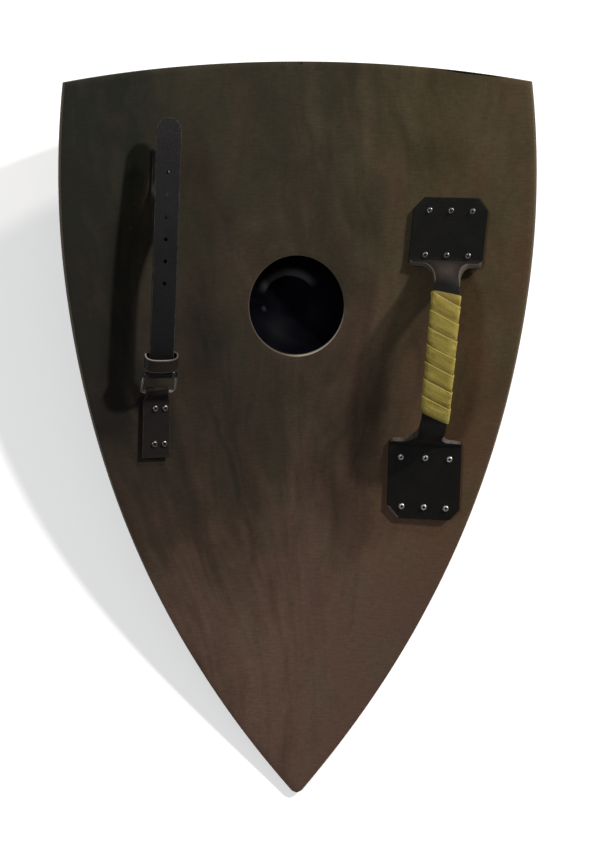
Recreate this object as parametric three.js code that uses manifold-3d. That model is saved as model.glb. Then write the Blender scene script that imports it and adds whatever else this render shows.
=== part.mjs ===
import * as THREE from 'three';
import Module from 'manifold-3d';

// A heater shield seen from its back, lying front down on the floor.
// Everything is drawn on a flat sheet first: across, up toward the top edge, and height above
// the back face. The sheet is then bent round an upright cylinder, and last the shield is laid down.

const gap = 0.3;

// Board
const bendRadius = 600;
const boardThickness = 9;
const topMiddle = 289.5;
const topArch = 21.5;
const tipHeight = -624;
const tipEase = 4.5;
const halfWidest = 284.5;
const widestHeight = 140;
const sideRadius = 980;
const sideTurn = THREE.MathUtils.degToRad(6);
const tipRound = 9;
const topCorner = topMiddle - topArch;

// Hand hole, a little taller than wide, with its back edge eased
const holeHalfWide = 57;
const holeHalfTall = 60.8;
const holeEase = 1.3;

// Boss
const bossDepth = 42;
const bossOuterMouth = 64;
const bossWall = 2;
const flangeRadius = 84;
const bossFlat = 17;
const flangeScrewCount = 6;
const flangeScrewRadius = 74;

// Handle
const handleInset = 108.6;
const handleAcross = halfWidest - handleInset;
const handleLean = 0.0885;
const lowerPadLean = 0.02;
const upperPadShift = -2.2;
const lowerPadShift = -4.2;
const handleOutward = 0.24;
const tapeTopSlant = 0.13;
const tapeFootSlant = 0.24;
const padHalfWidth = 44.7;
const padEndHalfWidth = 32.5;
const padChamfer = 14;
const padThickness = 5.5;
const shoulderRound = 5;
const neckFillet = 14;
const upperPadTop = 132;
const upperPadFoot = 53;
const lowerPadHead = -162;
const lowerPadEnd = -260;
const gripHalfWidth = 16.5;
const gripThickness = 9;
const gripRise = 54;
const tapeTop = 24.5;
const tapeFoot = -121;
const tapeThickness = 1.7;
const tapeEase = 1;

// Arm strap
const strapInset = 117.2;
const strapAcross = strapInset - halfWidest;
const strapLean = 0.04;
const strapSway = 0.02;
const strapOutward = -0.21;
const strapHalfWidth = 16.2;
const strapThickness = 3.2;
const layerStep = 3.7;
const tabHalfWidth = 17.1;
const anchorEnd = 190;
const anchorBend = 152;
const crownHead = 70;
const crownFoot = -40;
const crownRise = 53;
const crownBulge = 4;
const crownDrop = 1.5;
const freeEnd = 228;
const freeEndRise = 38;
const freeTipLength = 23;
const tabEnd = -178;
const tabUnderShort = 6;
const tabFlatEnd = -112;
const strapHoleCount = 6;
const strapHoleStep = 25.4;
const firstStrapHole = 39.5;
const strapHoleRadius = 2.6;

// Ring and keeper
const wireRadius = 2.1;
const ringHalfWidth = 21.1;
const topBar = new THREE.Vector2(-68, 45);
const lowBar = new THREE.Vector2(-96, 12);
const ringTopRound = 4;
const ringLowRound = 7;
const keeperHalfWidth = 20.2;
const keeperFrontOpening = 11;
const keeperBackOpening = 6.4;
const keeperThickness = 2.4;
const keeperLength = 17;
const keeperFullness = 0.72;
const keeperMiddle = new THREE.Vector2(-51.5, 53.6);
const keeperSlope = THREE.MathUtils.degToRad(24);

// Screws
const screwRadius = 4;
const screwHeight = 2.4;
const recessRadius = 1.6;
const recessDepth = 1.1;
const padScrewInset = 15;
const upperScrewStep = 26;
const lowerScrewStep = 30;
const endScrewStep = 27.5;
const tabScrewInset = 17;
const tabScrewShift = 4.7;
const tabScrewStep = 6.2;
const anchorScrewInset = 12;
const anchorScrewStep = 7;

const wasm = await Module();
wasm.setup();

// Mesh helpers
function toManifold(geometry) {
  const bare = geometry.clone();
  bare.deleteAttribute('normal');
  bare.deleteAttribute('uv');
  const merged = mergeSame(bare);
  const mesh = new wasm.Mesh({ numProp: 3, vertProperties: merged.positions, triVerts: merged.triangles });
  return new wasm.Manifold(mesh);
}

function mergeSame(geometry) {
  const source = geometry.attributes.position;
  const order = geometry.index ? Array.from(geometry.index.array) : [...Array(source.count).keys()];
  const seen = new Map();
  const positions = [];
  const lookup = order.map((corner) => {
    const place = [source.getX(corner), source.getY(corner), source.getZ(corner)];
    const key = place.map((value) => Math.round(value * 20000)).join(' ');
    if (!seen.has(key)) {
      seen.set(key, positions.length / 3);
      positions.push(...place);
    }
    return seen.get(key);
  });
  const triangles = [];
  for (let i = 0; i < lookup.length; i += 3) {
    const [a, b, c] = lookup.slice(i, i + 3);
    if (a !== b && b !== c && c !== a) {
      triangles.push(a, b, c);
    }
  }
  return { positions: new Float32Array(positions), triangles: new Uint32Array(triangles) };
}

function fromManifold(solid) {
  const mesh = solid.getMesh();
  const geometry = new THREE.BufferGeometry();
  geometry.setAttribute('position', new THREE.Float32BufferAttribute(mesh.vertProperties, 3));
  geometry.setIndex(Array.from(mesh.triVerts));
  return geometry;
}

function mapped(geometry, place) {
  const spots = geometry.attributes.position;
  const spot = new THREE.Vector3();
  for (let i = 0; i < spots.count; i += 1) {
    spot.fromBufferAttribute(spots, i);
    const moved = place(spot);
    spots.setXYZ(i, moved.x, moved.y, moved.z);
  }
  return geometry;
}

function bend(spot) {
  const turn = spot.x / bendRadius;
  const reach = bendRadius - spot.z;
  spot.set(reach * Math.sin(turn), spot.y, bendRadius - reach * Math.cos(turn));
  return spot;
}

function fromRings(rings, closed) {
  const count = rings[0].length;
  const positions = rings.flat().flatMap((spot) => [spot.x, spot.y, spot.z]);
  const triangles = [];
  const steps = closed ? rings.length : rings.length - 1;
  for (let i = 0; i < steps; i += 1) {
    const here = i * count;
    const next = ((i + 1) % rings.length) * count;
    for (let j = 0; j < count; j += 1) {
      const k = (j + 1) % count;
      triangles.push(here + j, here + k, next + k, here + j, next + k, next + j);
    }
  }
  if (!closed) {
    const last = (rings.length - 1) * count;
    for (let j = 1; j < count / 2; j += 1) {
      const a = j - 1;
      const b = j;
      const c = count - 1 - j;
      const d = count - j;
      triangles.push(a, d % count, b);
      triangles.push(last + a, last + b, last + (d % count));
      if (b !== c) {
        triangles.push(b, d % count, c);
        triangles.push(last + b, last + c, last + (d % count));
      }
    }
  }
  const geometry = new THREE.BufferGeometry();
  geometry.setAttribute('position', new THREE.Float32BufferAttribute(positions, 3));
  geometry.setIndex(triangles);
  return geometry;
}

function outward(geometry) {
  const spots = geometry.attributes.position;
  const order = geometry.index.array;
  const [a, b, c] = [new THREE.Vector3(), new THREE.Vector3(), new THREE.Vector3()];
  let volume = 0;
  for (let i = 0; i < order.length; i += 3) {
    a.fromBufferAttribute(spots, order[i]);
    b.fromBufferAttribute(spots, order[i + 1]);
    c.fromBufferAttribute(spots, order[i + 2]);
    volume += a.dot(b.cross(c));
  }
  if (volume < 0) {
    const flipped = Array.from(order);
    for (let i = 0; i < flipped.length; i += 3) {
      [flipped[i + 1], flipped[i + 2]] = [flipped[i + 2], flipped[i + 1]];
    }
    geometry.setIndex(flipped);
  }
  return geometry;
}

// Rounded oblong section, the same number of points for every size
function section(halfWidth, halfThick, round, across, cornerSteps) {
  const points = [];
  const corner = (x, y, from) => {
    for (let i = 0; i <= cornerSteps; i += 1) {
      const turn = from + (i / cornerSteps) * (Math.PI / 2);
      points.push([x + round * Math.cos(turn), y + round * Math.sin(turn)]);
    }
  };
  const side = (x0, x1, y) => {
    for (let i = 1; i < across; i += 1) {
      points.push([x0 + ((x1 - x0) * i) / across, y]);
    }
  };
  const w = halfWidth - round;
  const t = halfThick - round;
  corner(-w, -t, Math.PI);
  side(-w, w, -halfThick);
  corner(w, -t, -Math.PI / 2);
  corner(w, t, 0);
  side(w, -w, halfThick);
  corner(-w, t, Math.PI / 2);
  return points;
}

// A strip's path is drawn in the plane of up and height; lean and outward tilt move it across
function stationFrames(points) {
  return points.map((point, i) => {
    const before = points[Math.max(0, i - 1)];
    const after = points[Math.min(points.length - 1, i + 1)];
    const along = new THREE.Vector2().subVectors(after, before).normalize();
    return { point, normal: new THREE.Vector2(-along.y, along.x) };
  });
}

function placeOnLine(line, x, spot) {
  const across = line.middle(spot.x) + line.outward * spot.y + x;
  return new THREE.Vector3(across, spot.x - line.cross(spot.x) * x, spot.y);
}

function strip(points, line, sizeAt, across, cornerSteps) {
  const rings = stationFrames(points).map((frame, i) => {
    const size = sizeAt(frame.point, i);
    const round = Math.min(size.round, size.halfWidth * 0.9);
    return section(size.halfWidth, size.halfThick, round, across, cornerSteps).map(([x, y]) => {
      const spot = frame.point.clone().addScaledVector(frame.normal, y);
      return bend(placeOnLine(line, x, spot));
    });
  });
  return outward(fromRings(rings, false));
}

function sleeve(points, line, inner, wall, across, cornerSteps) {
  const frames = stationFrames(points);
  const layer = (halfWidth, halfThick, round) => frames.map((frame) =>
    section(halfWidth, halfThick, round, across, cornerSteps).map(([x, y]) => {
      const spot = frame.point.clone().addScaledVector(frame.normal, y);
      return bend(placeOnLine(line, x, spot));
    }));
  const inside = layer(inner.halfWidth, inner.halfThick, inner.round);
  const outside = layer(inner.halfWidth + wall, inner.halfThick + wall, inner.round + wall);
  return outward(fromRings([...outside, ...inside.reverse()], true));
}

function wireLoop(points, acrossAt, radius, sides) {
  const rings = points.map((point, i) => {
    const before = points[(i + points.length - 1) % points.length];
    const after = points[(i + 1) % points.length];
    const along = new THREE.Vector2().subVectors(after, before).normalize();
    const ring = [];
    for (let j = 0; j < sides; j += 1) {
      const turn = (j / sides) * Math.PI * 2;
      const level = radius * Math.sin(turn);
      const sideways = radius * Math.cos(turn);
      ring.push(acrossAt(point.x - along.y * sideways, point.y + along.x * sideways, level));
    }
    return ring;
  });
  return outward(fromRings(rings, true));
}

function roundSamples(shape, longest) {
  const points = [];
  for (const curve of shape.curves) {
    const fewest = curve.isEllipseCurve ? 6 : 2;
    const steps = curve.isLineCurve ? 1 : Math.max(fewest, Math.ceil(curve.getLength() / longest));
    const found = curve.getPoints(steps);
    if (points.length) {
      found.shift();
    }
    points.push(...found);
  }
  return points;
}

// Outline of the flat board: two arcs for each flank, one arc for the top
function outline() {
  const sideCentre = new THREE.Vector2(halfWidest - sideRadius, widestHeight);
  const turnNormal = new THREE.Vector2(Math.cos(sideTurn), -Math.sin(sideTurn));
  const turnSpot = sideCentre.clone().addScaledVector(turnNormal, sideRadius);
  const toTip = new THREE.Vector2(0, tipHeight - tipEase).sub(turnSpot);
  const flankRadius = -toTip.lengthSq() / (2 * toTip.dot(turnNormal));
  const flankCentre = turnSpot.clone().addScaledVector(turnNormal, -flankRadius);
  const cornerReach = Math.sqrt(sideRadius ** 2 - (topCorner - widestHeight) ** 2);
  const cornerAcross = sideCentre.x + cornerReach;
  const arch = topMiddle - topCorner;
  const topRadius = (cornerAcross ** 2 + arch ** 2) / (2 * arch);
  const top = (x) => {
    if (x <= cornerAcross) {
      return topMiddle - topRadius + Math.sqrt(topRadius ** 2 - x * x);
    }
    return widestHeight + Math.sqrt(Math.max(0, sideRadius ** 2 - (x - sideCentre.x) ** 2));
  };
  const foot = (x) => {
    if (x < tipRound) {
      return THREE.MathUtils.lerp(tipHeight, flankFoot(tipRound), (x / tipRound) ** 2);
    }
    if (x <= turnSpot.x) {
      return flankFoot(x);
    }
    return widestHeight - Math.sqrt(Math.max(0, sideRadius ** 2 - (x - sideCentre.x) ** 2));
  };
  function flankFoot(x) {
    return flankCentre.y - Math.sqrt(flankRadius ** 2 - (x - flankCentre.x) ** 2);
  }
  const stops = [0, tipRound * 0.4, tipRound * 0.75, tipRound];
  const startTurn = Math.acos((tipRound - flankCentre.x) / flankRadius);
  const flankSteps = 30;
  for (let i = 1; i < flankSteps; i += 1) {
    const turn = startTurn + ((sideTurn - startTurn) * i) / flankSteps;
    stops.push(flankCentre.x + flankRadius * Math.cos(turn));
  }
  stops.push(turnSpot.x, cornerAcross);
  for (const turn of [0.08, 0.05, 0.02]) {
    stops.push(sideCentre.x + sideRadius * Math.cos(turn));
  }
  stops.push(halfWidest);
  stops.sort((a, b) => a - b);
  return { stops, top, foot };
}

// Board as thin upright staves, so that it can be bent
function boardSolid() {
  const { stops, top, foot } = outline();
  const columns = [...stops.slice(1).map((x) => -x).reverse(), ...stops];
  const rings = columns.map((x) => {
    const reach = Math.abs(x);
    const low = foot(reach);
    const high = top(reach);
    return [[low, -boardThickness], [low, 0], [high, 0], [high, -boardThickness]].map(([y, z]) =>
      bend(new THREE.Vector3(x, y, z)));
  });
  const solid = toManifold(outward(fromRings(rings, false)));
  const profile = [
    [0, -2 * boardThickness],
    [1, -2 * boardThickness],
    [1, -holeEase],
    [1 + (2 * holeEase) / holeHalfWide, holeEase],
    [0, holeEase],
  ].map(([x, y]) => new THREE.Vector2(x, y));
  const cutter = new THREE.LatheGeometry(profile, 44);
  cutter.rotateX(Math.PI / 2);
  mapped(cutter, (spot) => bend(spot.set(spot.x * holeHalfWide, spot.y * holeHalfTall, spot.z)));
  return fromManifold(solid.subtract(toManifold(cutter)));
}

// Lying down: the floor touches the boss's flat spot and the tip of the board
const domeRadius = (bossOuterMouth ** 2 + bossDepth ** 2) / (2 * bossDepth);
const domeCentre = domeRadius - bossDepth - boardThickness - gap;
const flatReach = Math.sqrt(domeRadius ** 2 - bossFlat ** 2);
function layDownAngle() {
  const tip = new THREE.Vector2(tipHeight, -boardThickness);
  const rise = domeCentre - tip.y;
  const length = Math.hypot(tip.x, rise);
  return Math.asin(flatReach / length) - Math.atan2(rise, -tip.x);
}
const pitch = layDownAngle();

function halfSpace(reach) {
  const size = 400;
  const block = new THREE.BoxGeometry(size, size, size);
  block.translate(0, 0, size / 2 - reach);
  block.rotateX(-pitch);
  block.translate(0, 0, domeCentre);
  return toManifold(block);
}

function bossSolid() {
  const face = -boardThickness - gap;
  const under = face - bossWall;
  const domeSteps = 7;
  const outer = [];
  const mouthTurn = Math.acos((domeCentre - under) / domeRadius);
  for (let i = 0; i <= domeSteps; i += 1) {
    const turn = (mouthTurn * i) / domeSteps;
    outer.push(new THREE.Vector2(domeRadius * Math.sin(turn), domeCentre - domeRadius * Math.cos(turn)));
  }
  outer.push(new THREE.Vector2(flangeRadius - bossWall / 2, under));
  outer.push(new THREE.Vector2(flangeRadius, under + bossWall / 2));
  outer.push(new THREE.Vector2(flangeRadius, face));
  outer.push(new THREE.Vector2(bossOuterMouth, face));
  outer.push(new THREE.Vector2(0, face));
  const inner = [];
  const innerRadius = domeRadius - bossWall;
  const innerTurn = Math.acos((domeCentre - face) / innerRadius);
  for (let i = 0; i <= domeSteps; i += 1) {
    const turn = (innerTurn * i) / domeSteps;
    inner.push(new THREE.Vector2(innerRadius * Math.sin(turn), domeCentre - innerRadius * Math.cos(turn)));
  }
  inner.push(new THREE.Vector2(inner[domeSteps].x, 0));
  inner.push(new THREE.Vector2(0, 0));
  const turned = (points) => {
    const geometry = new THREE.LatheGeometry(points, 34);
    geometry.rotateX(Math.PI / 2);
    return toManifold(mapped(geometry, bend));
  };
  const shell = turned(outer).intersect(halfSpace(flatReach));
  const hollow = turned(inner).intersect(halfSpace(flatReach - bossWall));
  return fromManifold(shell.subtract(hollow));
}

// Handle
const gripShare = (y) => {
  const pastPads = Math.min(upperPadFoot - y, y - lowerPadHead);
  return THREE.MathUtils.smoothstep(pastPads, -4, 20);
};
const handleLine = {
  outward: handleOutward,
  middle: (y) => {
    const belowGrip = Math.min(0, y - lowerPadHead);
    const padShift = y > tapeTop ? upperPadShift : lowerPadShift;
    const straight = handleAcross + handleLean * (y - belowGrip) + lowerPadLean * belowGrip;
    return straight + padShift * (1 - gripShare(y));
  },
  cross: (y) => handleLean * gripShare(y),
};
const tapeLine = {
  outward: handleOutward,
  middle: handleLine.middle,
  cross: (y) => THREE.MathUtils.mapLinear(y, tapeTop, tapeFoot, tapeTopSlant, tapeFootSlant),
};
const padMiddle = gap + padThickness / 2;
function handlePath() {
  const path = new THREE.Path();
  path.moveTo(upperPadTop, padMiddle);
  path.lineTo(upperPadTop - padChamfer, padMiddle);
  path.lineTo(upperPadFoot + 6, padMiddle);
  path.bezierCurveTo(upperPadFoot - 5, padMiddle, upperPadFoot - 5, gripRise, tapeTop - 10, gripRise + 1);
  path.bezierCurveTo(tapeTop - 38, gripRise + 4, tapeFoot + 38, gripRise + 4, tapeFoot + 10, gripRise + 1);
  path.bezierCurveTo(lowerPadHead + 14, gripRise, lowerPadHead + 14, padMiddle, lowerPadHead - 8, padMiddle);
  path.lineTo(lowerPadEnd + padChamfer, padMiddle);
  path.lineTo(lowerPadEnd, padMiddle);
  return addStations(roundSamples(path, 9), [-shoulderRound, -0.3, 0.3, 0.1 * neckFillet, 0.4 * neckFillet]);
}

// Extra stations where the pads narrow to the grip
function addStations(points, distances) {
  const found = points.slice();
  const stops = distances.flatMap((distance) => [upperPadFoot - distance, lowerPadHead + distance]);
  for (const y of stops) {
    const next = found.findIndex((point) => point.x < y);
    const [a, b] = [found[next - 1], found[next]];
    if (a.x - y < 0.25 || y - b.x < 0.25) {
      continue;
    }
    found.splice(next, 0, a.clone().lerp(b, (y - a.x) / (b.x - a.x)));
  }
  return found;
}

function handleSize(point) {
  const y = point.x;
  const intoEnd = Math.min(upperPadTop - y, y - lowerPadEnd);
  const pastFlange = Math.min(upperPadFoot - y, y - lowerPadHead);
  let halfWidth = padHalfWidth;
  if (intoEnd < padChamfer) {
    halfWidth = THREE.MathUtils.lerp(padEndHalfWidth, padHalfWidth, intoEnd / padChamfer);
  }
  if (pastFlange > -shoulderRound) {
    const rounding = Math.min(1, pastFlange / shoulderRound + 1);
    halfWidth -= shoulderRound * (1 - Math.sqrt(1 - rounding ** 2));
  }
  if (pastFlange > 0) {
    const narrowing = Math.min(1, pastFlange / neckFillet);
    halfWidth = gripHalfWidth + neckFillet * (1 - Math.sqrt(1 - (1 - narrowing) ** 2));
  }
  const thicken = THREE.MathUtils.smoothstep(pastFlange, -6, 16);
  const halfThick = THREE.MathUtils.lerp(padThickness, gripThickness, thicken) / 2;
  return { halfWidth, halfThick, round: THREE.MathUtils.lerp(1.2, 3.2, thicken) };
}

function tapePath() {
  const points = handlePath();
  const inside = points.filter((point) => point.x < tapeTop - 2 && point.x > tapeFoot + 2);
  const ends = [tapeTop, tapeFoot].map((y) => {
    const next = points.findIndex((point) => point.x < y);
    const [a, b] = [points[next - 1], points[next]];
    return a.clone().lerp(b, (y - a.x) / (b.x - a.x));
  });
  return [ends[0], ...inside, ends[1]];
}

// Strap: anchored under its own free end, over the arm, round the ring's bar and back
const strapLine = {
  outward: strapOutward,
  middle: (y) => strapAcross + strapLean * y + strapSway * Math.max(0, y - crownFoot),
  cross: () => strapLean,
};
const lowLayer = gap + strapThickness / 2;
const barReach = wireRadius + 0.4 + strapThickness / 2;
function strapPath() {
  const pull = THREE.MathUtils.degToRad(40);
  const down = new THREE.Vector2(-Math.cos(pull), -Math.sin(pull));
  const face = new THREE.Vector2(down.y, -down.x);
  const under = topBar.clone().addScaledVector(face, -barReach);
  const over = topBar.clone().addScaledVector(face, barReach);
  const leadIn = 8;
  const onCrown = (share) => THREE.MathUtils.lerp(crownHead, crownFoot, share);
  const onRise = (share) => THREE.MathUtils.lerp(anchorBend, crownHead, share);
  const footRise = crownRise + crownDrop;
  const halfRise = crownRise + crownBulge / 2;
  const fullRise = crownRise + crownBulge;
  const turnIn = THREE.MathUtils.lerp(crownFoot, topBar.x, 0.43);
  const path = new THREE.Path();
  path.moveTo(anchorEnd, lowLayer);
  path.lineTo(anchorBend, lowLayer);
  path.bezierCurveTo(onRise(0.34), lowLayer, onRise(0.39), crownRise * 0.96, crownHead, crownRise);
  path.bezierCurveTo(onCrown(0.36), halfRise, onCrown(0.73), fullRise, crownFoot, footRise);
  const underLead = under.clone().addScaledVector(down, -leadIn);
  const overLead = over.clone().addScaledVector(down, -leadIn);
  path.bezierCurveTo(turnIn, footRise - 1, underLead.x, underLead.y, under.x, under.y);
  const start = Math.atan2(-face.y, -face.x);
  path.absarc(topBar.x, topBar.y, barReach, start, start - Math.PI, true);
  const highFoot = footRise + layerStep;
  path.bezierCurveTo(overLead.x, overLead.y, turnIn, highFoot - 1, crownFoot, highFoot);
  const highHead = crownRise + layerStep;
  const highFull = fullRise + layerStep;
  const highHalf = halfRise + layerStep;
  path.bezierCurveTo(onCrown(0.73), highFull, onCrown(0.36), highHalf, crownHead, highHead);
  const tipRoot = freeEnd - freeTipLength;
  const onFree = (share) => THREE.MathUtils.lerp(crownHead, tipRoot, share);
  const rootRise = THREE.MathUtils.lerp(freeEndRise, highHead, 0.21);
  const droop = THREE.MathUtils.lerp(freeEndRise, highHead, 0.48);
  path.bezierCurveTo(onFree(0.3), highHead - crownBulge / 2, onFree(0.74), droop, tipRoot, rootRise);
  const points = roundSamples(path, 12);
  const tip = new THREE.Vector2(freeEnd, freeEndRise);
  const last = points[points.length - 1].clone();
  for (const share of [0.35, 0.6, 0.8, 0.93, 1]) {
    points.push(last.clone().lerp(tip, share));
  }
  return points;
}

function strapSize(point, i, count) {
  const tipSteps = 5;
  const fromEnd = count - 1 - i;
  let halfWidth = strapHalfWidth;
  if (fromEnd < tipSteps) {
    const share = [1, 0.93, 0.8, 0.6, 0.35][fromEnd];
    halfWidth = strapHalfWidth * Math.sqrt(Math.max(0.02, 1 - share ** 3));
  }
  return { halfWidth, halfThick: strapThickness / 2, round: 0.7 };
}

function strapSolid() {
  const points = strapPath();
  const body = strip(points, strapLine, (point, i) => strapSize(point, i, points.length), 2, 1);
  let solid = toManifold(body);
  for (let i = 0; i < strapHoleCount; i += 1) {
    const y = firstStrapHole + i * strapHoleStep;
    const free = points.slice(Math.floor(points.length / 2));
    const next = free.findIndex((point) => point.x > y);
    const [a, b] = [free[next - 1], free[next]];
    const level = THREE.MathUtils.lerp(a.y, b.y, (y - a.x) / (b.x - a.x));
    const punch = new THREE.CylinderGeometry(strapHoleRadius, strapHoleRadius, strapThickness + 0.5, 10);
    punch.rotateX(Math.PI / 2);
    const centre = new THREE.Vector2(y, level);
    mapped(punch, (spot) =>
      bend(placeOnLine(strapLine, spot.x, new THREE.Vector2(centre.x + spot.y, centre.y + spot.z))));
    solid = solid.subtract(toManifold(punch));
  }
  return fromManifold(solid);
}

// Lower tab, folded round the ring's low bar and screwed down
function tabPath() {
  const up = topBar.clone().sub(lowBar).normalize();
  const face = new THREE.Vector2(-up.y, up.x);
  const under = lowBar.clone().addScaledVector(face, -barReach);
  const over = lowBar.clone().addScaledVector(face, barReach);
  const leadIn = 6;
  const path = new THREE.Path();
  const highLayer = lowLayer + layerStep;
  path.moveTo(tabEnd + tabUnderShort, lowLayer);
  path.lineTo(tabFlatEnd, lowLayer);
  const underLift = THREE.MathUtils.lerp(tabFlatEnd, lowBar.x, 0.62);
  path.bezierCurveTo(underLift, lowLayer, under.x - up.x * leadIn, under.y - up.y * leadIn, under.x, under.y);
  const start = Math.atan2(-face.y, -face.x);
  path.absarc(lowBar.x, lowBar.y, barReach, start, start + Math.PI, false);
  const overLift = THREE.MathUtils.lerp(tabFlatEnd, lowBar.x, 0.4);
  const overLead = over.clone().addScaledVector(up, -leadIn);
  path.bezierCurveTo(overLead.x, overLead.y, overLift, highLayer, tabFlatEnd, highLayer);
  path.lineTo(tabEnd, highLayer);
  return roundSamples(path, 4);
}

function tabSize(point) {
  const nearRing = THREE.MathUtils.smoothstep(point.x, tabFlatEnd, lowBar.x - barReach);
  const halfWidth = THREE.MathUtils.lerp(tabHalfWidth, ringHalfWidth - ringLowRound, nearRing);
  return { halfWidth, halfThick: strapThickness / 2, round: 0.7 };
}

function ringSolid() {
  const down = lowBar.clone().sub(topBar);
  const length = down.length();
  down.normalize();
  const face = new THREE.Vector2(down.y, -down.x);
  const topSide = ringHalfWidth - ringTopRound;
  const lowSide = ringHalfWidth - ringLowRound;
  const lowStart = length - ringLowRound;
  const path = new THREE.Path();
  path.moveTo(-topSide, 0);
  path.lineTo(topSide, 0);
  path.absarc(topSide, ringTopRound, ringTopRound, -Math.PI / 2, 0, false);
  path.lineTo(ringHalfWidth, lowStart);
  path.absarc(lowSide, lowStart, ringLowRound, 0, Math.PI / 2, false);
  path.lineTo(-lowSide, length);
  path.absarc(-lowSide, lowStart, ringLowRound, Math.PI / 2, Math.PI, false);
  path.lineTo(-ringHalfWidth, ringTopRound);
  path.absarc(-topSide, ringTopRound, ringTopRound, Math.PI, Math.PI * 1.5, false);
  const points = roundSamples(path, 4.5);
  points.pop();
  const place = (x, along, level) => {
    const spot = topBar.clone().addScaledVector(down, along).addScaledVector(face, level);
    return bend(placeOnLine(strapLine, x, spot));
  };
  return wireLoop(points, place, wireRadius, 8);
}

function keeperSolid() {
  const along = new THREE.Vector2(Math.cos(keeperSlope), Math.sin(keeperSlope));
  const points = [-0.5, 0, 0.5].map((share) =>
    keeperMiddle.clone().addScaledVector(along, share * keeperLength));
  const frames = stationFrames(points);
  const layer = (wall) => frames.map((frame) => keeperSection(wall).map(([x, y]) => {
    const spot = frame.point.clone().addScaledVector(frame.normal, y);
    return bend(placeOnLine(strapLine, x, spot));
  }));
  return outward(fromRings([...layer(keeperThickness), ...layer(0).reverse()], true));
}

// The keeper's loop bows out in front and lies flatter behind the strap
function keeperSection(wall) {
  const steps = 24;
  const points = [];
  for (let i = 0; i < steps; i += 1) {
    const turn = (i / steps) * Math.PI * 2;
    const [cos, sin] = [Math.cos(turn), Math.sin(turn)];
    const depth = sin > 0 ? keeperFrontOpening : keeperBackOpening;
    const across = Math.sign(cos) * Math.abs(cos) ** keeperFullness * (keeperHalfWidth + wall);
    points.push([across, Math.sign(sin) * Math.abs(sin) ** keeperFullness * (depth + wall)]);
  }
  return points;
}

// Screw heads with a driver recess
function screwSolid(place) {
  const profile = [
    [0, 0],
    [screwRadius, 0],
    [screwRadius * 0.9, screwHeight * 0.55],
    [recessRadius, screwHeight],
    [recessRadius * 0.7, screwHeight - recessDepth],
    [0, screwHeight - recessDepth],
  ].map(([x, y]) => new THREE.Vector2(x, y));
  const geometry = new THREE.LatheGeometry(profile, 8);
  geometry.rotateX(Math.PI / 2);
  return outward(fromManifold(toManifold(mapped(geometry, place))));
}

function screwOn(line, x, y, level) {
  return screwSolid((spot) =>
    bend(placeOnLine(line, x + spot.x, new THREE.Vector2(y + spot.y, level + spot.z))));
}

const root = new THREE.Group();
root.name = 'heater_shield';
const looks = {
  wood: { color: 0x5a4630, roughness: 0.6, metalness: 0 },
  blackSteel: { color: 0x0a0b0d, roughness: 0.25, metalness: 0.6 },
  leather: { color: 0x1d1c1b, roughness: 0.55, metalness: 0 },
  tape: { color: 0x9a8a3c, roughness: 0.75, metalness: 0 },
  steel: { color: 0xa8a8a8, roughness: 0.3, metalness: 1 },
};

function add(name, geometry, look) {
  const mesh = new THREE.Mesh(geometry, new THREE.MeshStandardMaterial(look));
  mesh.name = name;
  root.add(mesh);
}

add('board', boardSolid(), looks.wood);
add('boss', bossSolid(), looks.blackSteel);
add('handle', strip(handlePath(), handleLine, handleSize, 4, 2), looks.leather);
const tapeInner = {
  halfWidth: gripHalfWidth + tapeEase,
  halfThick: gripThickness / 2 + tapeEase,
  round: 3.2,
};
add('grip_tape', sleeve(tapePath(), tapeLine, tapeInner, tapeThickness, 2, 2), looks.tape);
add('arm_strap', strapSolid(), looks.leather);
add('strap_tab', strip(tabPath(), strapLine, tabSize, 2, 1), looks.leather);
add('strap_ring', ringSolid(), looks.steel);
add('strap_keeper', keeperSolid(), looks.leather);

const padFace = padThickness + 2 * gap;
const padScrewRows = [
  [upperPadTop - padScrewInset, upperScrewStep],
  [upperPadFoot + screwRadius + 7, upperScrewStep],
  [lowerPadHead - padScrewInset - 1.6 * screwRadius, lowerScrewStep],
  [lowerPadEnd + padScrewInset, endScrewStep],
];
padScrewRows.forEach(([y, step], row) => {
  [-step, 0, step].forEach((x, column) => {
    add(`handle_screw_${row + 1}_${column + 1}`, screwOn(handleLine, x, y, padFace), looks.steel);
  });
});
const tabFace = gap * 2 + strapThickness + layerStep;
const tabScrewRows = [tabFlatEnd - screwRadius - 1.5, tabEnd + tabScrewInset];
tabScrewRows.forEach((y, row) => {
  [tabScrewShift - tabScrewStep, tabScrewShift + tabScrewStep].forEach((x, column) => {
    add(`tab_screw_${row + 1}_${column + 1}`, screwOn(strapLine, x, y, tabFace), looks.steel);
  });
});
const anchorFace = gap * 2 + strapThickness;
const anchorScrewRows = [anchorEnd - anchorScrewInset, anchorBend + anchorScrewInset];
anchorScrewRows.forEach((y, row) => {
  [-anchorScrewStep, anchorScrewStep].forEach((x, column) => {
    add(`anchor_screw_${row + 1}_${column + 1}`, screwOn(strapLine, x, y, anchorFace), looks.steel);
  });
});
for (let i = 0; i < flangeScrewCount; i += 1) {
  const turn = ((i + 0.5) / flangeScrewCount) * Math.PI * 2;
  const x = flangeScrewRadius * Math.cos(turn);
  const y = flangeScrewRadius * Math.sin(turn);
  const face = -boardThickness - bossWall - 2 * gap;
  add(`boss_screw_${i + 1}`, screwSolid((spot) =>
    bend(spot.set(x + spot.x, y - spot.y, face - spot.z))), looks.steel);
}

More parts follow.
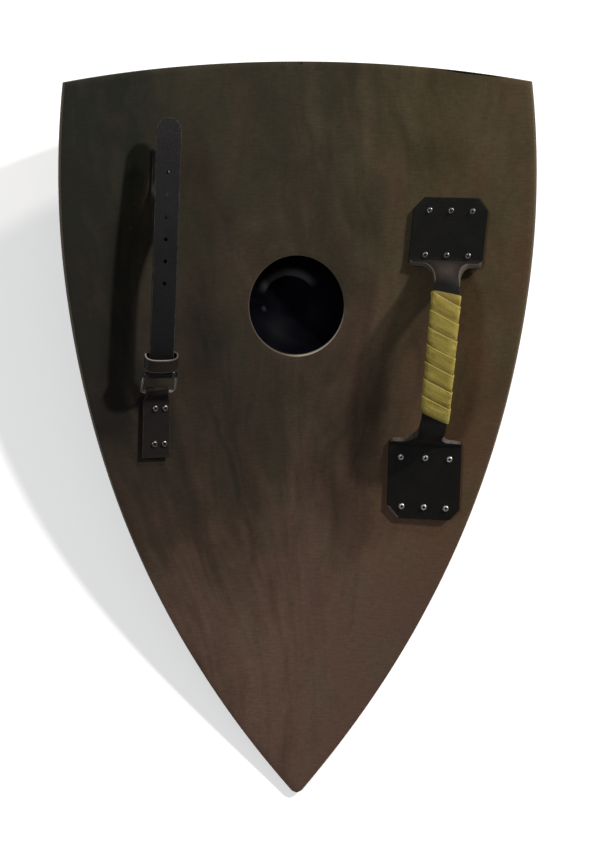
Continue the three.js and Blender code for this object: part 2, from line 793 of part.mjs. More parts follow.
// Lay the shield down and centre it over the origin
const laid = new THREE.Box3();
for (const mesh of root.children) {
  mesh.geometry.rotateX(pitch);
  mesh.geometry.computeBoundingBox();
  laid.union(mesh.geometry.boundingBox);
}
const middle = laid.getCenter(new THREE.Vector3());
for (const mesh of root.children) {
  mesh.geometry.translate(-middle.x, -middle.y, -laid.min.z);
  mesh.geometry.computeVertexNormals();
}

export default root;
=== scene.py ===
# Looks for the heater shield: back face up, as the photograph shows it
import math
import random
import bpy
from mathutils import Matrix, Vector, noise


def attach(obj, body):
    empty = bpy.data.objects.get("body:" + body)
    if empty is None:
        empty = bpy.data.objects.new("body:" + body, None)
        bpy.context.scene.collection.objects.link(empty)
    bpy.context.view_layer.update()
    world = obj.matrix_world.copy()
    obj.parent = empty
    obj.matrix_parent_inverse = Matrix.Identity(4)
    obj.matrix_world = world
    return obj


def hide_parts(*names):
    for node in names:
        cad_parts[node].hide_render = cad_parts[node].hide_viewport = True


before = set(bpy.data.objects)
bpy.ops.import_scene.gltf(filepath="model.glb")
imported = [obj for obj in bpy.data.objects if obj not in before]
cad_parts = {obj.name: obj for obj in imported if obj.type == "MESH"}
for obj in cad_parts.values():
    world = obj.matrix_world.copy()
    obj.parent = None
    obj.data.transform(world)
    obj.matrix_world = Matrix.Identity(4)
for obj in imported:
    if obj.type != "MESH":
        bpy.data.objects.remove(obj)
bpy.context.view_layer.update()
random.seed(7)
noise.seed_set(7)
print("frame loaded")

# Every piece is first made flat, in metres: x across, y toward the top edge, z above the back face.
# Then it is bent with the board and laid down on the floor.
lying = {"bendRadius": 0.600, "pitch": 3.6984, "shiftY": 0.16661, "shiftZ": 0.049232}


def deselectAll():
    if bpy.context.object and bpy.context.object.mode != "OBJECT":
        bpy.ops.object.mode_set(mode="OBJECT")
    bpy.ops.object.select_all(action="DESELECT")


def makeActive(piece):
    deselectAll()
    piece.select_set(True)
    bpy.context.view_layer.objects.active = piece


def newest(name):
    piece = bpy.context.object
    piece.name = name
    piece.data.name = name
    return piece


def applyModifier(piece, kind, **settings):
    makeActive(piece)
    modifier = piece.modifiers.new(kind.lower(), kind)
    for name, value in settings.items():
        setattr(modifier, name, value)
    bpy.ops.object.modifier_apply(modifier=modifier.name)


def openWhole(piece):
    # edit mode with the whole piece selected
    makeActive(piece)
    bpy.ops.object.mode_set(mode="EDIT")
    bpy.ops.mesh.select_all(action="SELECT")


def closeEdit():
    bpy.ops.object.mode_set(mode="OBJECT")


def mergeAndTurnOut(piece, distance=0.00002):
    openWhole(piece)
    bpy.ops.mesh.remove_doubles(threshold=distance)
    bpy.ops.mesh.normals_make_consistent(inside=False)
    closeEdit()


def flipFaces(piece):
    openWhole(piece)
    bpy.ops.mesh.flip_normals()
    closeEdit()


def easeEdges(piece, width, segments=3, sharperThan=50):
    applyModifier(piece, "BEVEL", width=width, segments=segments, limit_method="ANGLE",
                  angle_limit=math.radians(sharperThan))


def cutWith(piece, tool):
    applyModifier(piece, "BOOLEAN", operation="DIFFERENCE", object=tool, solver="EXACT")
    bpy.data.objects.remove(tool)


def openEdges(piece, chosen):
    # edit mode with only the chosen edges selected
    openWhole(piece)
    bpy.ops.mesh.select_mode(type="EDGE")
    bpy.ops.mesh.select_all(action="DESELECT")
    closeEdit()
    for edge in piece.data.edges:
        edge.select = chosen(edge)
    bpy.ops.object.mode_set(mode="EDIT")


def edgeMiddle(piece, edge):
    a, b = (piece.data.vertices[i].co for i in edge.vertices)
    return (a + b) / 2


def moveAll(piece, place):
    for vert in piece.data.vertices:
        vert.co = place(vert.co.copy())
    piece.data.update()


def keepFlat(piece):
    # the flat place of each point, for grain that follows the piece
    flat = piece.data.attributes.new("flat", "FLOAT_VECTOR", "POINT")
    flat.data.foreach_set("vector", [value for vert in piece.data.vertices for value in vert.co])


def keepNumber(piece, name, valueAt):
    number = piece.data.attributes.new(name, "FLOAT", "POINT")
    number.data.foreach_set("value", [valueAt(vert.co) for vert in piece.data.vertices])


def bendAndLay(spot):
    turn = math.radians(lying["pitch"])
    angle = spot.x / lying["bendRadius"]
    reach = lying["bendRadius"] - spot.z
    high = lying["bendRadius"] - reach * math.cos(angle)
    return Vector((reach * math.sin(angle),
                   spot.y * math.cos(turn) - high * math.sin(turn) + lying["shiftY"],
                   spot.y * math.sin(turn) + high * math.cos(turn) + lying["shiftZ"]))


def onLine(line, spot):
    return Vector((line["middle"](spot.y) + line["outward"] * spot.z + spot.x,
                   spot.y - line["cross"](spot.y) * spot.x, spot.z))


def smoothstep(value, low, high):
    share = min(1, max(0, (value - low) / (high - low)))
    return share * share * (3 - 2 * share)


def mix(a, b, share):
    return a + (b - a) * share


def bezier(start, first, second, end, steps=24):
    points = []
    for i in range(1, steps + 1):
        t = i / steps
        s = 1 - t
        points.append(tuple(s ** 3 * a + 3 * s * s * t * b + 3 * s * t * t * c + t ** 3 * d
                            for a, b, c, d in zip(start, first, second, end)))
    return points


def roundBar(centre, reach, start, sweep, steps=16):
    return [(centre[0] + reach * math.cos(start + sweep * i / steps),
             centre[1] + reach * math.sin(start + sweep * i / steps)) for i in range(steps + 1)]


class SidePath:
    # a path in the plane of y and z, for strips that are modelled straight and then laid along it
    def __init__(self, points, face=1):
        self.points = [Vector(point) for point in points]
        self.stops = [0.0]
        for a, b in zip(self.points, self.points[1:]):
            self.stops.append(self.stops[-1] + (b - a).length)
        self.length = self.stops[-1]
        last = len(self.points) - 1
        self.normals = []
        for i in range(last + 1):
            along = (self.points[min(last, i + 1)] - self.points[max(0, i - 1)]).normalized()
            self.normals.append(Vector((-along.y, along.x)) * face)

    def at(self, distance):
        i = 0
        while i < len(self.stops) - 2 and distance > self.stops[i + 1]:
            i += 1
        share = (distance - self.stops[i]) / (self.stops[i + 1] - self.stops[i])
        spot = self.points[i] + (self.points[i + 1] - self.points[i]) * share
        normal = self.normals[i].lerp(self.normals[i + 1], min(1, max(0, share))).normalized()
        return spot, normal

    def lay(self, spot):
        middle, normal = self.at(spot.y)
        place = middle + normal * spot.z
        return Vector((spot.x, place.x, place.y))

    def distanceTo(self, y, after):
        # how far along the path it reaches the height y, past a given share of its length
        for i in range(len(self.points) - 1):
            a, b = self.points[i], self.points[i + 1]
            if self.stops[i] > after * self.length and min(a.x, b.x) <= y <= max(a.x, b.x):
                return self.stops[i] + (y - a.x) / (b.x - a.x) * (self.stops[i + 1] - self.stops[i])
        return 0


def straightStrip(name, halfWidth, length, acrossCount, alongCount):
    # a flat strip that starts at y = 0, to be shaped and laid along a path
    deselectAll()
    bpy.ops.mesh.primitive_grid_add(x_subdivisions=acrossCount, y_subdivisions=alongCount, size=1)
    strip = newest(name)
    openWhole(strip)
    bpy.ops.transform.resize(value=(2 * halfWidth, length, 1))
    bpy.ops.transform.translate(value=(0, length / 2, 0))
    closeEdit()
    return strip


def finishPiece(piece, nodes, material, smooth):
    openWhole(piece)
    bpy.ops.mesh.normals_make_consistent(inside=False)
    closeEdit()
    bpy.ops.object.shade_smooth_by_angle(angle=math.radians(smooth))
    piece.data.materials.clear()
    piece.data.materials.append(material)
    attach(piece, "root")
    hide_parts(*nodes)


# Camera, floor and light

# aim and direction are read from the photograph, in the flat shield's own frame
cameraLook = {"aim": (0.00422, -0.15022, 0.0), "sideways": -3.0, "above": 12.0,
              "distance": 2.4, "focalPixels": 1967.2, "imageWide": 600, "sensor": 36}
stageLook = {"floor": (0.90, 0.90, 0.90), "floorRough": 0.9, "floorGlow": 0.40, "floorWide": 14, "fill": 0.20,
             "aim": (0, 0, 0.05)}
lightLook = {
    "mainLight": {"place": (3.45, 3.60, 3.50), "size": 0.42, "power": 335, "colour": (1.0, 0.95, 0.88)},
    "lowLight": {"place": (2.95, 4.75, 2.45), "size": 0.55, "power": 150, "colour": (1.0, 0.94, 0.86)},
    "leftLight": {"place": (-2.7, 1.3, 4.2), "size": 0.9, "power": 55, "colour": (0.94, 0.97, 1.0)}}


def placeCamera():
    side, above = math.radians(cameraLook["sideways"]), math.radians(cameraLook["above"])
    back = Vector((math.sin(side) * math.cos(above), math.sin(above), math.cos(side) * math.cos(above)))
    up = (Vector((0, 1, 0)) - back * back.y).normalized()
    eye = Vector(cameraLook["aim"]) + back * cameraLook["distance"]
    axes = Matrix((up.cross(back), up, back)).transposed().to_4x4()
    turn = Matrix.Rotation(math.radians(lying["pitch"]), 4, "X")
    shift = Matrix.Translation((0, lying["shiftY"], lying["shiftZ"]))
    camera = bpy.data.objects.new("camera", bpy.data.cameras.new("camera"))
    bpy.context.scene.collection.objects.link(camera)
    camera.matrix_world = shift @ turn @ Matrix.Translation(eye) @ axes
    camera.data.sensor_fit = "HORIZONTAL"
    camera.data.sensor_width = cameraLook["sensor"]
    camera.data.lens = cameraLook["sensor"] * cameraLook["focalPixels"] / cameraLook["imageWide"]
    bpy.context.scene.camera = camera


def addLight(name, place, size, power, colour):
    deselectAll()
    bpy.ops.object.light_add(type="AREA", location=place)
    light = bpy.context.object
    light.name = name
    light.data.shape = "DISK"
    light.data.size = size
    light.data.energy = power
    light.data.color = colour
    light.rotation_euler = (Vector(stageLook["aim"]) - Vector(place)).to_track_quat("-Z", "Y").to_euler()


def buildStage():
    deselectAll()
    bpy.ops.mesh.primitive_plane_add(size=stageLook["floorWide"], location=(0, 0, 0))
    floor = newest("floor")
    material = bpy.data.materials.new("paleFloor")
    material.use_nodes = True
    shader = material.node_tree.nodes["Principled BSDF"]
    shader.inputs["Base Color"].default_value = (*stageLook["floor"], 1)
    shader.inputs["Roughness"].default_value = stageLook["floorRough"]
    shader.inputs["Emission Color"].default_value = (1, 1, 1, 1)
    shader.inputs["Emission Strength"].default_value = stageLook["floorGlow"]
    floor.data.materials.append(material)
    world = bpy.context.scene.world or bpy.data.worlds.new("studio")
    bpy.context.scene.world = world
    world.use_nodes = True
    background = world.node_tree.nodes["Background"]
    background.inputs["Color"].default_value = (1, 1, 1, 1)
    background.inputs["Strength"].default_value = stageLook["fill"]
    for name, look in lightLook.items():
        addLight(name, **look)
    bpy.context.scene.view_settings.view_transform = "Standard"


placeCamera()
buildStage()
print("camera, floor and light ready")


# Materials

class NodeSheet:
    # small helper to lay out nodes and join them
    def __init__(self, tree):
        self.tree = tree
        self.column = 0

    def add(self, kind, inputs=None, **settings):
        node = self.tree.nodes.new(kind)
        self.column += 1
        node.location = (self.column * 190 - 2400, 0)
        for name, value in settings.items():
            setattr(node, name, value)
        for name, value in (inputs or {}).items():
            if isinstance(value, bpy.types.NodeSocket):
                self.tree.links.new(value, node.inputs[name])
            else:
                node.inputs[name].default_value = value
        return node

    def math(self, operation, a, b=0.0):
        return self.add("ShaderNodeMath", {0: a, 1: b}, operation=operation).outputs[0]

    def plus(self, a, b):
        return self.math("ADD", a, b)

    def minus(self, a, b):
        return self.math("SUBTRACT", a, b)

    def times(self, a, b):
        return self.math("MULTIPLY", a, b)

    def range(self, value, fromLow, fromHigh, toLow=0.0, toHigh=1.0, smooth=False):
        inputs = {"Value": value, "From Min": fromLow, "From Max": fromHigh,
                  "To Min": toLow, "To Max": toHigh}
        kind = "SMOOTHSTEP" if smooth else "LINEAR"
        return self.add("ShaderNodeMapRange", inputs, interpolation_type=kind).outputs["Result"]

    def blend(self, share, a, b, kind="MIX"):
        # the colour sockets of a Mix node are its inputs 6 and 7
        a, b = (value if isinstance(value, bpy.types.NodeSocket) else (*value, 1) for value in (a, b))
        node = self.add("ShaderNodeMix", {0: share, 6: a, 7: b}, data_type="RGBA", blend_type=kind,
                        clamp_factor=True)
        return node.outputs[2]

    def split(self, vector):
        return self.add("ShaderNodeSeparateXYZ", {0: vector}).outputs

    def stretch(self, vector, scale):
        return self.add("ShaderNodeVectorMath", {0: vector, 1: scale}, operation="MULTIPLY").outputs[0]

    def noise(self, vector, scale, detail=4.0, roughness=0.5, distortion=0.0):
        inputs = {"Vector": vector, "Scale": scale, "Detail": detail, "Roughness": roughness,
                  "Distortion": distortion}
        return self.add("ShaderNodeTexNoise", inputs).outputs[0]

    def join(self, out, socket):
        self.tree.links.new(out, socket)


def newGroup(name, inputs, outputs):
    group = bpy.data.node_groups.new(name, "ShaderNodeTree")
    for socketName, kind, value in inputs:
        socket = group.interface.new_socket(socketName, in_out="INPUT", socket_type=kind)
        if value is not None:
            socket.default_value = value
    for socketName, kind in outputs:
        group.interface.new_socket(socketName, in_out="OUTPUT", socket_type=kind)
    sheet = NodeSheet(group)
    start = sheet.add("NodeGroupInput")
    end = sheet.add("NodeGroupOutput")
    return group, sheet, start.outputs, end.inputs


def makeDustGroup():
    # pale dust and lint that gathers in patches
    group, sheet, given, result = newGroup(
        "dustPatches", [("Vector", "NodeSocketVector", None), ("Cover", "NodeSocketFloat", 0.4)],
        [("Mask", "NodeSocketFloat")])
    patches = sheet.noise(given["Vector"], 14, 5, 0.62)
    specks = sheet.noise(given["Vector"], 900, 2, 0.5)
    low = sheet.minus(0.72, sheet.times(given["Cover"], 0.3))
    cover = sheet.range(patches, low, 0.85)
    sheet.join(sheet.times(cover, sheet.range(specks, 0.35, 0.7, 0.25, 1.0)), result["Mask"])
    return group


def makeScuffGroup():
    # short fine scratches in two directions
    group, sheet, given, result = newGroup(
        "fineScuffs", [("Vector", "NodeSocketVector", None), ("Scale", "NodeSocketFloat", 40.0)],
        [("Mask", "NodeSocketFloat")])
    first = sheet.noise(sheet.stretch(given["Vector"], (1.0, 16.0, 3.0)), given["Scale"], 3, 0.6, 0.4)
    second = sheet.noise(sheet.stretch(given["Vector"], (14.0, 2.5, 4.0)), given["Scale"], 3, 0.6, 0.6)
    lines = sheet.math("MAXIMUM", sheet.range(first, 0.66, 0.74), sheet.range(second, 0.67, 0.75))
    where = sheet.noise(given["Vector"], 22, 2)
    sheet.join(sheet.times(lines, sheet.range(where, 0.45, 0.6)), result["Mask"])
    return group


def makeHideGroup():
    # pebbled leather: cells broken by creases, with a slow change of tone
    group, sheet, given, result = newGroup(
        "hideGrain", [("Vector", "NodeSocketVector", None), ("Scale", "NodeSocketFloat", 700.0)],
        [("Height", "NodeSocketFloat"), ("Tone", "NodeSocketFloat")])
    warped = sheet.add("ShaderNodeVectorMath", {0: given["Vector"], 1: sheet.stretch(
        sheet.add("ShaderNodeTexNoise", {"Vector": given["Vector"], "Scale": 160.0}).outputs["Color"],
        (0.0015, 0.0015, 0.0015))}, operation="ADD").outputs[0]
    cells = sheet.add("ShaderNodeTexVoronoi", {"Vector": warped, "Scale": given["Scale"]},
                      feature="DISTANCE_TO_EDGE").outputs["Distance"]
    fine = sheet.noise(given["Vector"], 2600, 3, 0.6)
    creases = sheet.noise(sheet.stretch(warped, (1.0, 3.0, 1.0)), 110, 5, 0.65)
    pebbles = sheet.range(cells, 0.0, 0.35)
    height = sheet.plus(sheet.times(pebbles, 0.55), sheet.times(fine, 0.25))
    sheet.join(sheet.plus(height, sheet.times(creases, 0.6)), result["Height"])
    slow = sheet.noise(given["Vector"], 45, 5, 0.6)
    tone = sheet.plus(sheet.times(slow, 0.7), sheet.times(pebbles, 0.3))
    sheet.join(tone, result["Tone"])
    return group


def makeRubGroup():
    # rubbed edges: the kept edge number, broken up by noise
    group, sheet, given, result = newGroup(
        "rubbedEdges", [("Vector", "NodeSocketVector", None), ("Edge", "NodeSocketFloat", 0.0),
                        ("Reach", "NodeSocketFloat", 0.5)], [("Mask", "NodeSocketFloat")])
    broken = sheet.noise(given["Vector"], 130, 5, 0.65)
    edge = sheet.plus(given["Edge"], sheet.times(sheet.minus(broken, 0.5), 0.9))
    low = sheet.minus(1.0, given["Reach"])
    sheet.join(sheet.range(edge, low, sheet.plus(low, 0.35)), result["Mask"])
    return group


dustGroup = makeDustGroup()
scuffGroup = makeScuffGroup()
hideGroup = makeHideGroup()
rubGroup = makeRubGroup()


def newMaterial(name):
    material = bpy.data.materials.new(name)
    material.use_nodes = True
    sheet = NodeSheet(material.node_tree)
    shader = material.node_tree.nodes["Principled BSDF"]
    return material, sheet, shader


def useGroup(sheet, group, **inputs):
    return sheet.add("ShaderNodeGroup", inputs, node_tree=group).outputs


def finishMaterial(sheet, shader, colour, rough, height, look):
    sheet.join(colour, shader.inputs["Base Color"])
    sheet.join(rough, shader.inputs["Roughness"])
    bump = sheet.add("ShaderNodeBump", {"Strength": look["bump"], "Distance": look["bumpReach"],
                                        "Height": height})
    sheet.join(bump.outputs[0], shader.inputs["Normal"])
    shader.inputs["Specular IOR Level"].default_value = look["gloss"]


def flatPlace(sheet):
    return sheet.add("ShaderNodeAttribute", attribute_name="flat").outputs["Vector"]


def keptNumber(sheet, name):
    return sheet.add("ShaderNodeAttribute", attribute_name=name).outputs["Fac"]


woodLook = {"dark": (0.0112, 0.0105, 0.0083), "middle": (0.0330, 0.0245, 0.0162),
            "warm": (0.0880, 0.0600, 0.0420), "olive": (0.95, 1.09, 1.00), "red": (1.05, 0.93, 0.99),
            "golden": (1.04, 1.0, 0.78), "bare": (0.32, 0.285, 0.24),
            "ply": (0.085, 0.060, 0.040), "sliverShade": (0.004, 0.0035, 0.003),
            "paler": 3.0, "palerTip": 0.90, "plyThick": 0.0013, "roughness": 0.58, "gloss": 0.10,
            "bump": 0.22, "bumpReach": 0.0006}
# long soft dark streaks, the last and widest one a painted shadow cast by the handle: x at the head, x at the
# foot, bow, y at the head, y at the foot, width, strength
woodStreaksAndHandleShadow = ((-0.122, -0.046, 0.012, -0.090, -0.350, 0.0075, 0.27),
               (0.078, 0.046, 0.004, -0.300, -0.520, 0.010, 0.20),
               (-0.040, -0.010, 0.004, -0.320, -0.500, 0.009, 0.16),
               (0.006, 0.002, -0.006, -0.180, -0.380, 0.008, 0.12),
               (-0.190, -0.120, 0.010, -0.060, -0.300, 0.011, 0.12),
               (0.118, 0.050, -0.008, -0.060, -0.400, 0.030, 0.26))


def makeStreakGroup():
    # one long soft streak that bows from its head to its foot
    names = ("HeadX", "FootX", "Bow", "HeadY", "FootY", "Width")
    inputs = [("Vector", "NodeSocketVector", None)] + [(name, "NodeSocketFloat", 0.0) for name in names]
    group, sheet, given, result = newGroup("softStreak", inputs, [("Mask", "NodeSocketFloat")])
    x, y, _ = sheet.split(given["Vector"])
    share = sheet.range(y, given["HeadY"], given["FootY"])
    straight = sheet.range(share, 0.0, 1.0, given["HeadX"], given["FootX"])
    arch = sheet.times(sheet.times(share, sheet.minus(1.0, share)), 4.0)
    middle = sheet.plus(straight, sheet.times(arch, given["Bow"]))
    wander = sheet.noise(given["Vector"], 24, 3)
    middle = sheet.plus(middle, sheet.times(sheet.minus(wander, 0.5), 0.020))
    away = sheet.math("DIVIDE", sheet.math("ABSOLUTE", sheet.minus(x, middle)), given["Width"])
    body = sheet.range(away, 0.0, 1.0, 1.0, 0.0, smooth=True)
    ends = sheet.range(arch, 0.0, 0.7, 0.0, 1.0, smooth=True)
    sheet.join(sheet.times(body, ends), result["Mask"])
    return group


def makeWood():
    material, sheet, shader = newMaterial("stainedPlywood")
    streakGroup = makeStreakGroup()
    flat = flatPlace(sheet)
    x, y, z = sheet.split(flat)
    # the figure runs straight at the top and closes in toward the tip
    close = sheet.range(y, -0.50, -0.02, 0.40, 1.0, smooth=True)
    drift = sheet.noise(sheet.stretch(flat, (1.0, 0.45, 1.0)), 6.5, 2)
    across = sheet.plus(sheet.math("DIVIDE", x, close),
                        sheet.times(sheet.minus(drift, 0.5), 0.16))
    figurePlace = sheet.add("ShaderNodeCombineXYZ", {0: across, 1: sheet.times(y, 0.24), 2: z}).outputs[0]
    figure = sheet.noise(figurePlace, 15, 4, 0.5, 0.5)
    fineFigure = sheet.noise(figurePlace, 60, 3, 0.5, 0.3)
    pores = sheet.noise(sheet.stretch(flat, (1.0, 0.12, 1.0)), 900, 3, 0.55)
    crossTicks = sheet.noise(sheet.stretch(flat, (0.22, 1.0, 1.0)), 420, 3, 0.6)
    blotches = sheet.noise(flat, 13, 4, 0.6)
    hue = sheet.noise(sheet.stretch(flat, (1.0, 0.55, 1.0)), 19, 3, 0.55)
    # the colour is made paler to the right and near the tip
    tone = sheet.times(x, woodLook["paler"])
    tone = sheet.plus(tone, sheet.range(y, -0.12, -0.44, 0.0, woodLook["palerTip"], smooth=True))
    for grain, half, strength in ((figure, 0.16, 0.17), (fineFigure, 0.16, 0.11), (blotches, 0.18, 0.17)):
        tone = sheet.plus(tone, sheet.range(grain, 0.5 - half, 0.5 + half, -strength, strength))
    # darken the tone along each streak, the handle's painted shadow among them
    for headX, footX, bow, headY, footY, width, strength in woodStreaksAndHandleShadow:
        mask = useGroup(sheet, streakGroup, Vector=flat, HeadX=headX, FootX=footX, Bow=bow, HeadY=headY,
                        FootY=footY, Width=width)["Mask"]
        tone = sheet.minus(tone, sheet.times(mask, strength))
    tone = sheet.math("MINIMUM", tone, 1.00)
    colour = sheet.blend(sheet.range(tone, -0.75, 0.0), woodLook["dark"], woodLook["middle"])
    colour = sheet.blend(sheet.range(tone, 0.0, 0.90), colour, woodLook["warm"])
    # olive toward the top, redder below, in patches
    redder = sheet.plus(sheet.range(y, 0.26, -0.26), sheet.range(hue, 0.34, 0.66, -0.48, 0.48))
    tint = sheet.blend(redder, woodLook["olive"], woodLook["red"])
    colour = sheet.blend(1.0, colour, tint, "MULTIPLY")
    golden = sheet.times(sheet.range(x, 0.02, 0.17), sheet.range(y, -0.42, -0.24))
    goldenTint = sheet.blend(golden, (1.0, 1.0, 1.0), woodLook["golden"])
    colour = sheet.blend(1.0, colour, goldenTint, "MULTIPLY")
    grainShade = sheet.times(sheet.range(pores, 0.3, 0.65, 0.88, 1.06),
                             sheet.range(crossTicks, 0.3, 0.68, 0.86, 1.10))
    shade = sheet.add("ShaderNodeCombineColor", {0: grainShade, 1: grainShade, 2: grainShade}).outputs[0]
    colour = sheet.blend(1.0, colour, shade, "MULTIPLY")
    # plies on the cut edges
    plies = sheet.math("PINGPONG", z, woodLook["plyThick"])
    plyShade = sheet.range(plies, 0.0003, 0.0010, 0.35, 1.0)
    endGrain = sheet.noise(sheet.stretch(flat, (1.0, 1.0, 6.0)), 420, 4, 0.6)
    plyColour = sheet.blend(sheet.times(plyShade, endGrain), woodLook["middle"], woodLook["ply"])
    colour = sheet.blend(keptNumber(sheet, "cutEdge"), colour, plyColour)
    # pale bare wood round the hole, with a painted highlight on its lit lower right side
    bareMask = sheet.times(keptNumber(sheet, "bareWood"), sheet.range(endGrain, 0.25, 0.6, 0.7, 1.0))
    colour = sheet.blend(bareMask, colour, woodLook["bare"])
    scuffs = useGroup(sheet, scuffGroup, Vector=flat, Scale=24.0)["Mask"]
    colour = sheet.blend(sheet.times(scuffs, 0.14), colour, woodLook["ply"])
    # painted shade inside the long chip on the top edge
    colour = sheet.blend(keptNumber(sheet, "sliverShadeMask"), colour, woodLook["sliverShade"])
    rough = sheet.plus(sheet.range(pores, 0.3, 0.7, 0.10, -0.03), woodLook["roughness"])
    rough = sheet.plus(rough, sheet.range(figure, 0.3, 0.7, 0.05, -0.05))
    height = sheet.plus(sheet.times(pores, 0.5), sheet.times(crossTicks, 0.4))
    finishMaterial(sheet, shader, colour, rough, height, woodLook)
    return material


leatherLook = {
    "pad": {"base": (0.0040, 0.0037, 0.0033), "worn": (0.095, 0.080, 0.070), "edge": (0.045, 0.032, 0.026),
            "grain": 620.0, "roughness": 0.44, "bump": 0.40},
    "strap": {"base": (0.0026, 0.0025, 0.0031), "worn": (0.040, 0.038, 0.038), "edge": (0.045, 0.032, 0.026),
              "grain": 800.0, "roughness": 0.50, "bump": 0.45},
    "tab": {"base": (0.0062, 0.0046, 0.0044), "worn": (0.035, 0.027, 0.024), "edge": (0.045, 0.032, 0.026),
            "grain": 800.0, "roughness": 0.50, "bump": 0.45},
    # the keeper's pale edge is raw leather with a painted highlight where its top edge catches the light
    "keeper": {"base": (0.0110, 0.0084, 0.0072), "worn": (0.060, 0.048, 0.040), "edge": (0.17, 0.155, 0.14),
               "grain": 800.0, "roughness": 0.48, "bump": 0.35}}
leatherWearAndHighlight = {"neckHighlight": (0.046, 0.038, 0.034), "dust": (0.05, 0.046, 0.042), "gloss": 0.13,
               "bumpReach": 0.0005}


def makeLeather(name, kind):
    look = {**leatherWearAndHighlight, **leatherLook[kind]}
    material, sheet, shader = newMaterial(name)
    flat = flatPlace(sheet)
    hide = useGroup(sheet, hideGroup, Vector=flat, Scale=look["grain"])
    rub = useGroup(sheet, rubGroup, Vector=flat, Edge=keptNumber(sheet, "rim"), Reach=0.34)["Mask"]
    dust = useGroup(sheet, dustGroup, Vector=flat, Cover=0.5)["Mask"]
    scuffs = useGroup(sheet, scuffGroup, Vector=flat, Scale=55.0)["Mask"]
    tone = sheet.range(hide["Tone"], 0.25, 0.75)
    colour = sheet.blend(tone, look["base"], tuple(value * 1.7 for value in look["base"]))
    colour = sheet.blend(sheet.times(scuffs, 0.10), colour, look["worn"])
    colour = sheet.blend(sheet.times(dust, 0.10), colour, look["dust"])
    # painted highlight on the handle's necks, where the leather bends up toward the light
    neckHighlight = sheet.times(keptNumber(sheet, "neckHighlight"), sheet.range(hide["Tone"], 0.25, 0.70, 0.55, 1.0))
    colour = sheet.blend(neckHighlight, colour, look["neckHighlight"])
    # rubbed edges; on the handle their bends also carry a painted highlight
    colour = sheet.blend(sheet.times(rub, 0.8), colour, look["worn"])
    colour = sheet.blend(keptNumber(sheet, "cutEdge"), colour, look["edge"])
    rough = sheet.plus(sheet.range(hide["Height"], 0.3, 1.1, 0.12, -0.08), look["roughness"])
    rough = sheet.plus(rough, sheet.times(scuffs, 0.15))
    finishMaterial(sheet, shader, colour, rough, hide["Height"], look)
    return material


tapeLook = {"face": (0.330, 0.262, 0.054), "foldShade": (0.230, 0.170, 0.030), "shade": (0.095, 0.064, 0.013),
            "lift": (0.50, 0.43, 0.13), "grime": (0.12, 0.088, 0.020), "threads": 330.0,
            "roughness": 0.55, "gloss": 0.20, "bump": 0.5, "bumpReach": 0.0006}


def makeTape():
    material, sheet, shader = newMaterial("yellowTape")
    flat = flatPlace(sheet)
    share = sheet.split(flat)[0]
    weavePlace = sheet.stretch(flat, (0.024, 1.0, 1.0))
    bands = {"Vector": weavePlace, "Scale": tapeLook["threads"], "Distortion": 0.6, "Detail": 1.0}
    threads = sheet.add("ShaderNodeTexWave", bands, bands_direction="X").outputs["Fac"]
    cross = sheet.add("ShaderNodeTexWave", bands, bands_direction="Y").outputs["Fac"]
    wrinkles = sheet.noise(sheet.stretch(weavePlace, (1.0, 0.35, 1.0)), 190, 5, 0.6, 0.5)
    patches = sheet.noise(weavePlace, 60, 4, 0.6)
    # painted highlight along each turn's upper edge, which catches the light
    edgeHighlight = sheet.range(share, 0.0, 0.06, 1.0, 0.0, smooth=True)
    # folds are coloured darker: painted shade in the wrinkles
    colour = sheet.blend(sheet.range(wrinkles, 0.36, 0.60), tapeLook["foldShade"], tapeLook["face"])
    colour = sheet.blend(sheet.times(sheet.range(patches, 0.45, 0.75), 0.35), colour, tapeLook["lift"])
    colour = sheet.blend(sheet.times(sheet.range(patches, 0.52, 0.3), 0.30), colour, tapeLook["grime"])
    colour = sheet.blend(sheet.times(edgeHighlight, 0.75), colour, tapeLook["lift"])
    # painted shade under the edge of the next turn
    folds = sheet.noise(sheet.stretch(weavePlace, (1.0, 0.22, 1.0)), 120, 3, 0.6)
    under = sheet.times(sheet.range(share, 0.40, 0.82, 0.0, 0.85, smooth=True),
                        sheet.range(folds, 0.36, 0.58))
    colour = sheet.blend(under, colour, tapeLook["shade"])
    dust = useGroup(sheet, dustGroup, Vector=weavePlace, Cover=0.2)["Mask"]
    colour = sheet.blend(sheet.times(dust, 0.25), colour, tapeLook["grime"])
    height = sheet.plus(sheet.times(sheet.plus(threads, cross), 0.22), sheet.times(wrinkles, 1.3))
    rough = sheet.range(wrinkles, 0.3, 0.7, tapeLook["roughness"] + 0.08, tapeLook["roughness"] - 0.06)
    finishMaterial(sheet, shader, colour, rough, height, tapeLook)
    return material


steelLook = {"clean": (0.62, 0.61, 0.58), "dull": (0.22, 0.21, 0.19), "darkTone": (0.012, 0.010, 0.008),
             "dust": (0.10, 0.08, 0.06), "roughness": 0.30, "gloss": 0.5, "bump": 0.15, "bumpReach": 0.0003}


